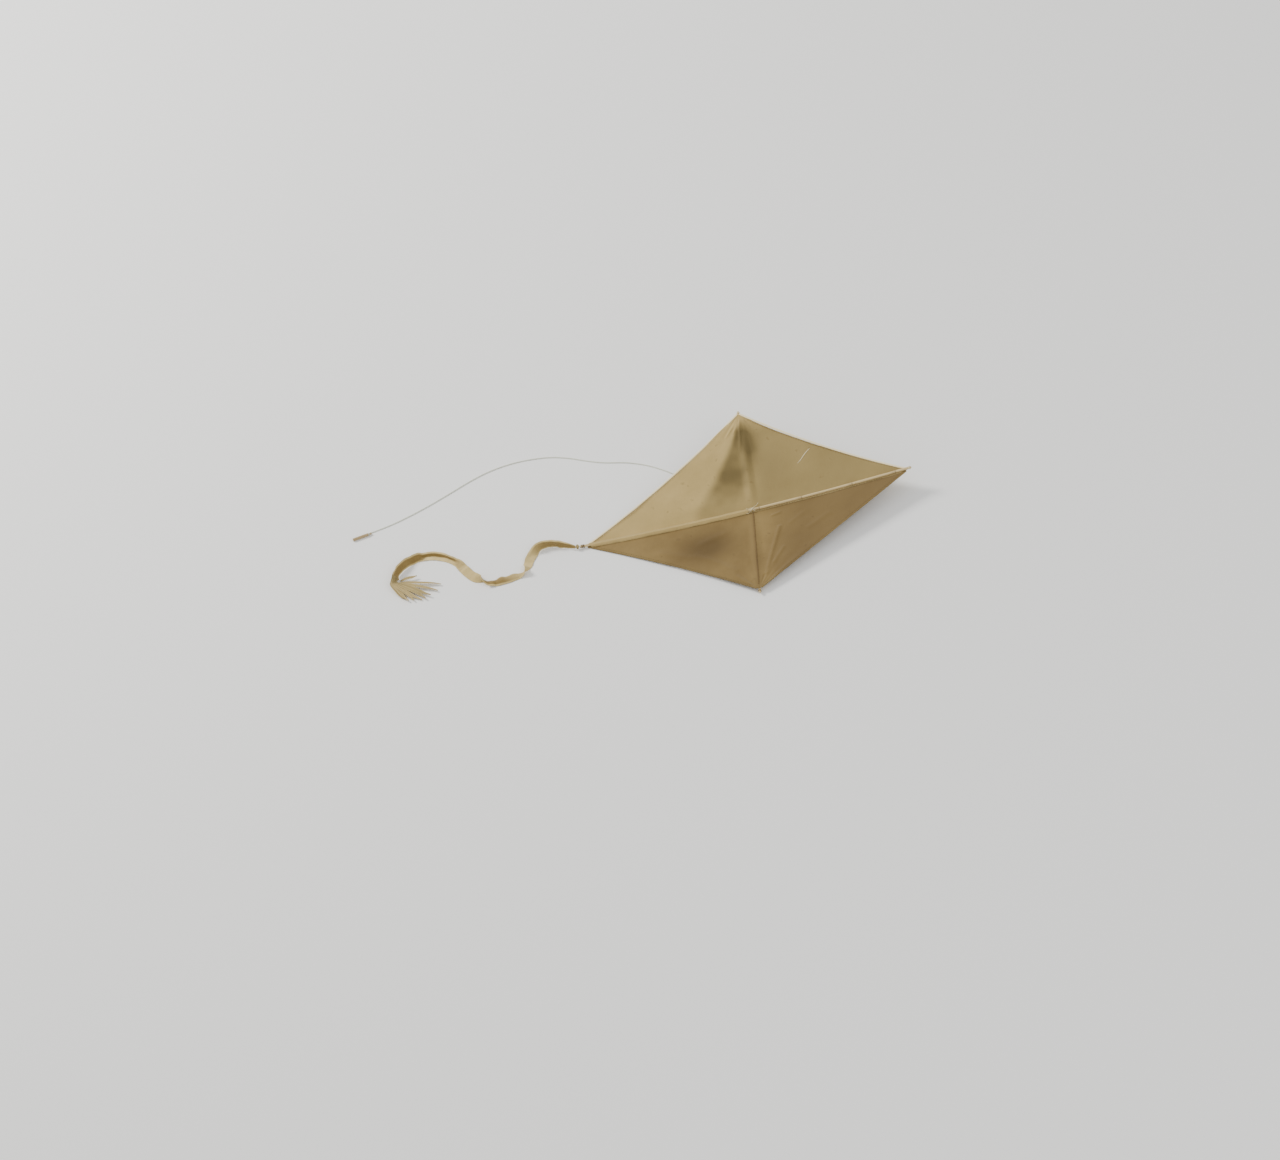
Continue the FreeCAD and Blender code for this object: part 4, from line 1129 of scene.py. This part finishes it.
def make_hitch():
    """Two turns of the line's end round the neck of the peg, and the knot that holds them."""
    parts = []
    for offset in (0.0071, 0.0084):
        ring = circle(PEG_START + PEG_WAY * offset, PEG_SIDE, PEG_UP, 0.00275)
        parts.append(tube_mesh("turn", ring, 0.0007, sides=12, closed=True, up=tuple(PEG_WAY + 0.01)))
    parts.append(knot_mesh("knot", (-1.06205, 0.20883, 0.0020), 0.0020, 0.00075, turn=0.6))
    neck = PEG_START + PEG_WAY * 0.0078 + PEG_SIDE * 0.0026 - PEG_UP * 0.0008
    points = [(-1.0612, 0.2091, 0.0019), (-1.0618, 0.2078, 0.0022), neck]
    parts.append(tube_mesh("strand", smooth_line(points, 16), 0.00085, sides=12))
    return finish(joined("hitch_cord", parts), LINE_CORD, "peg", ["peg_hitch"])


peg = make_peg()
hitch = make_hitch()

# ---- ribbon ----
# x and y from the knot, share of the full width, three angles (the turn about its own line, the fold
# along its middle, and the lip, which is how far its far rim is bent back), then how much painted shade
# darkens the face and the far rim.
RIBBON = (
    (-0.0050, 0.0000, 0.34, -66, 40, 0, 1.0, 0.6), (-0.0150, 0.0050, 0.46, -74, 36, 20, 1.0, 0.4),
    (-0.0280, 0.0110, 0.66, -82, 30, 50, 1.0, 0.0), (-0.0500, 0.0200, 0.88, -86, 20, 72, 1.0, 0.0),
    (-0.0720, 0.0260, 0.96, -88, 16, 78, 1.0, 0.0), (-0.0920, 0.0270, 1.00, -84, 14, 74, 0.9, 0.0),
    (-0.1110, 0.0190, 1.00, -60, 12, 50, 0.5, 0.0), (-0.1250, 0.0040, 1.00, -28, 12, 20, 0.1, 0.0),
    (-0.1350, -0.0160, 0.96, -10, 12, 0, 0.0, 0.0), (-0.1400, -0.0330, 0.90, -16, 14, 0, 0.0, 0.0),
    (-0.1450, -0.0475, 0.80, -84, 14, 0, 0.2, 0.1), (-0.1540, -0.0570, 0.72, -168, 12, 0, 0.4, 0.2),
    (-0.1720, -0.0620, 0.90, -190, 14, 0, 0.50, 0.2), (-0.1970, -0.0670, 1.00, -194, 40, 0, 0.75, 0.1),
    (-0.2210, -0.0700, 1.00, -188, 50, 0, 0.9, 0.0), (-0.2440, -0.0675, 0.92, -170, 44, 0, 0.9, 0.0),
    (-0.2580, -0.0600, 0.82, -132, 30, 0, 0.6, 0.0), (-0.2690, -0.0500, 0.86, -60, 20, 0, 0.3, 0.0),
    (-0.2850, -0.0370, 1.00, -18, 14, 0, 0.1, 0.0), (-0.3070, -0.0080, 1.00, -4, 12, 0, 0.0, 0.0),
    (-0.3200, 0.0140, 0.98, -10, 20, 0, 0.1, 0.0), (-0.3310, 0.0320, 0.90, -34, 60, 20, 0.6, 0.0),
    (-0.3500, 0.0510, 0.92, -46, 96, 50, 1.1, 0.0), (-0.3760, 0.0680, 1.00, -44, 100, 60, 1.2, 0.0),
    (-0.4040, 0.0780, 1.00, -40, 94, 60, 1.1, 0.0), (-0.4330, 0.0800, 1.00, -42, 66, 40, 1.1, 0.0),
    (-0.4600, 0.0710, 1.00, -54, 34, 20, 1.1, 0.0), (-0.4830, 0.0530, 1.00, -66, 16, 0, 1.1, 0.0),
    (-0.4980, 0.0330, 1.00, -72, 10, 0, 1.0, 0.0), (-0.5035, 0.0140, 1.00, -62, 6, 0, 0.8, 0.1),
)
RIBBON_HALF = 0.0135
# Each strip's heading in degrees past its bend, and its length there.
STRIPS = ((-57, 0.069), (-56, 0.083), (-53, 0.095), (-48, 0.110), (-42, 0.119), (-35, 0.124), (-29, 0.132),
          (-20, 0.130), (2, 0.055))


def ribbon_rows(count, across):
    """Rows of points across the ribbon. A row is bent at each place by fold tanh(4v) / 2 and by the lip."""
    table = np.array(RIBBON)
    even = np.concatenate([table[:, :2], table[:, 2:3] * 0.01, table[:, 3:] * 1e-5], 1)
    rows = smooth_line(even, count)
    share = rows[:, 2:3] / 0.01
    turn, fold, lip = (np.radians(rows[:, k, None] / 1e-5) for k in (3, 4, 5))
    shade_and_fold = rows[:, [6, 7, 4]] / 1e-5
    plan = np.stack([rows[:, 0] + KNOT[0], rows[:, 1] + KNOT[1], 0 * rows[:, 0]], -1)
    _, flat, _ = frames_along(plan)
    run = distance_along(plan)
    v = np.linspace(-1, 1, across)[None, :]
    angle = fold / 2 * np.tanh(4 * v) + lip * step(-0.30, -0.75, v)
    angle = angle + 0.16 * np.sin(run[:, None] * 2 * np.pi / 0.041 + 2.2 * v) * v
    angle = angle + 0.22 * noise(run[:, None] + 0 * v, v * 0.0135 + 0 * run[:, None], 0.012, 61)
    pace = RIBBON_HALF * share * (v[0, 1] - v[0, 0])
    level = np.cumsum(np.cos(angle) * pace, axis=1)
    over = np.cumsum(np.sin(angle) * pace, axis=1)
    middle = across // 2
    level, over = level - level[:, middle, None], over - over[:, middle, None]
    c, s = np.cos(turn), np.sin(turn)
    sideways, height = level * c - over * s, level * s + over * c
    lift = 0.0006 + 0.0008 * (0.5 + 0.5 * np.sin(run * 2 * np.pi / 0.12 + 0.4))
    lift = np.maximum(lift, 0.0055 * step(0.045, 0.0, run))
    height = height - height.min(axis=1)[:, None] + lift[:, None]
    points = plan[:, None] + flat[:, None] * sideways[..., None] + height[..., None] * np.array([0, 0, 1.0])
    return points, run, v, shade_and_fold


def thicken(points, half):
    """Two grids either side of one, along its normals, each row of them raised clear of the floor."""
    normal = unit(np.cross(np.gradient(points, axis=0), np.gradient(points, axis=1)))
    low, high = points - normal * half, points + normal * half
    raise_by = np.maximum(0.0002 - np.minimum(low[..., 2], high[..., 2]).min(axis=1), 0)[:, None]
    low[..., 2] += raise_by
    high[..., 2] += raise_by
    return low, high


def make_ribbon():
    points, run, v, shade_and_fold = ribbon_rows(560, 23)
    low, high = thicken(points, 0.00028)
    uv = np.stack(np.broadcast_arrays(run[:, None], v * RIBBON_HALF), -1)
    obj = thick_grid("ribbon_cloth", low, high, uv)
    # Painted shade: the face and the far rim are darkened by the table's shade columns, with random tone.
    folded = step(60, 90, shade_and_fold[:, 2:])
    face = step(-0.74, -0.52, v) * (step(1.02, 0.55, v) * (1 - folded) + step(0.22, -0.06, v) * folded)
    tone = shade_and_fold[:, 1:2] + (shade_and_fold[:, :1] - shade_and_fold[:, 1:2]) * face
    tone = tone + 0.18 * noise(run[:, None] + 0 * v, v * 0.01 + 0 * run[:, None], 0.03, 63)
    return finish(with_tone(obj, tone), RIBBON_CLOTH, "tail", ["tail_ribbon"]), points


def make_strips(points):
    """The ribbon's end cut in strips, which bend in turn, fan out, arch and curl at their tips."""
    end = points[-1]
    across = end[-1] - end[0]
    width = np.linalg.norm(across)
    across = across / width
    ending = (end - points[-6]).mean(axis=0)
    ending[2] = 0
    ending = unit(ending)
    pitch = 0.027 / len(STRIPS)
    parts = []
    for index, (angle, length) in enumerate(STRIPS):
        r = np.random.default_rng(70 + index)
        straight = pitch * (len(STRIPS) - index)
        foot = end[0] + across * width * (index + 0.5) / len(STRIPS) - ending * 0.003
        total = straight + length
        t = np.linspace(0, 1, 70)
        first, last = math.atan2(ending[1], ending[0]), math.radians(angle)
        bend = step(straight - 0.006, straight + 0.012, t * total)
        sway = 0.20 * np.sin(t * 5.5 + r.uniform(0, 6)) * step(0.3, 1.0, t)
        heading = first + (last - first) * bend + sway
        way = np.stack([np.cos(heading), np.sin(heading), 0 * t], -1)
        line = foot + np.concatenate([[np.zeros(3)], np.cumsum(way[:-1] * total / 69, axis=0)])
        high = 0.0016 + 0.0016 * (index % 3) + r.uniform(0.001, 0.005) * np.sin(np.pi * t) ** 1.3
        high = high + r.uniform(0.0, 0.004) * step(0.75, 1.0, t)
        line[:, 2] = high + (foot[2] - high) * np.clip(1 - t, 0, 1) ** 1.6
        _, flat, over = frames_along(line)
        lean = math.asin(np.clip(across[2], -1, 1)) * step(0.30, 0.0, t)
        twist = lean + r.uniform(-0.45, 0.15) * step(0.2, 0.6, t) + r.uniform(-0.5, 0.3) * step(0.5, 1.0, t)
        c, s = np.cos(twist)[:, None], np.sin(twist)[:, None]
        side, up = flat * c + over * s, over * c - flat * s
        half = 0.0016 + 0.0032 * step(0.04, 0.50, t) - 0.0031 * step(0.72, 1.0, t)
        v = np.linspace(-1, 1, 9)[None, :]
        grid = line[:, None] + side[:, None] * (v * half[:, None])[..., None]
        grid = grid + up[:, None] * (0.0016 * v * v * step(0.1, 0.5, t)[:, None])[..., None]
        run = t[:, None] * total + 0 * v
        part = thick_grid("strip", *thicken(grid, 0.00022), np.stack([run, v * 0.002 + 0 * run], -1))
        # Random tone, with painted shade at each strip's foot and painted highlight along its edges.
        shade = r.uniform(0.25, 0.65) + 0.45 * step(0.45, 0.0, t)[:, None]
        parts.append(with_tone(part, shade - 0.5 * step(0.45, 1.0, np.abs(v))))
    return finish(joined("ribbon_strips", parts), STRIP_CLOTH, "tail", ["tail_strips"])


def make_tail_knot():
    """The ribbon's overhand knot, its band bunched into a thick soft strand."""
    line = trefoil(KNOT + np.array([0, 0, 0.0002]), 0.0045, squash=0.50, turn=0.5)
    t = np.linspace(0, 2 * np.pi, len(line), endpoint=False)
    radii, sides = 0.0022 + 0.0003 * np.sin(5 * t), 20
    obj = tube_mesh("ribbon_knot", line, radii, sides=sides, closed=True, up=(0.2, 0.3, 1))
    # Painted shade: darker overall, and darker still where the strand dips low in the knot.
    with_tone(obj, 0.7 + 0.3 * np.repeat(np.sin(3 * t), sides))
    return finish(obj, STRIP_CLOTH, "tail_knot", ["tail_knot"])


ribbon, ribbon_points = make_ribbon()
strips = make_strips(ribbon_points)
tail_knot = make_tail_knot()

# ---- the flying line's cord finish ----
finish(line_cord, ROUTE_CORD, "line", ["flying_line"])


# ---- floor and light ----
def make_floor():
    half = 7
    points = [(-half, -half, 0), (half, -half, 0), (half, half, 0), (-half, half, 0)]
    obj = mesh_object("floor", points, [(0, 1, 2, 3)], smooth=False)
    obj.data.materials.append(floor_finish())


def soft_light(name, place, aim, across, power, color=(1.0, 1.0, 1.0)):
    """A square soft light at a place, turned to face its aim."""
    data = bpy.data.lights.new(name, "AREA")
    data.shape = "SQUARE"
    data.size, data.energy, data.color = across, power, color
    obj = linked(name, data)
    back = unit(np.asarray(place, float) - np.asarray(aim, float))
    side = unit(np.cross((0, 0, 1), back))
    turn_to(obj, side, np.cross(back, side), back, place)


def make_world():
    world = bpy.data.worlds.new("studio")
    world.use_nodes = True
    background = world.node_tree.nodes["Background"]
    background.inputs["Color"].default_value = (1.0, 1.0, 1.0, 1.0)
    background.inputs["Strength"].default_value = 0.74
    bpy.context.scene.world = world


make_floor()
make_world()
soft_light("key_light", (-5.6, 4.3, 4.9), (-0.3, 0.0, 0.0), 2.1, 640.0, (1.0, 0.985, 0.96))
soft_light("fill_light", (4.0, -4.6, 5.2), (-0.2, 0.0, 0.0), 4.6, 170.0)
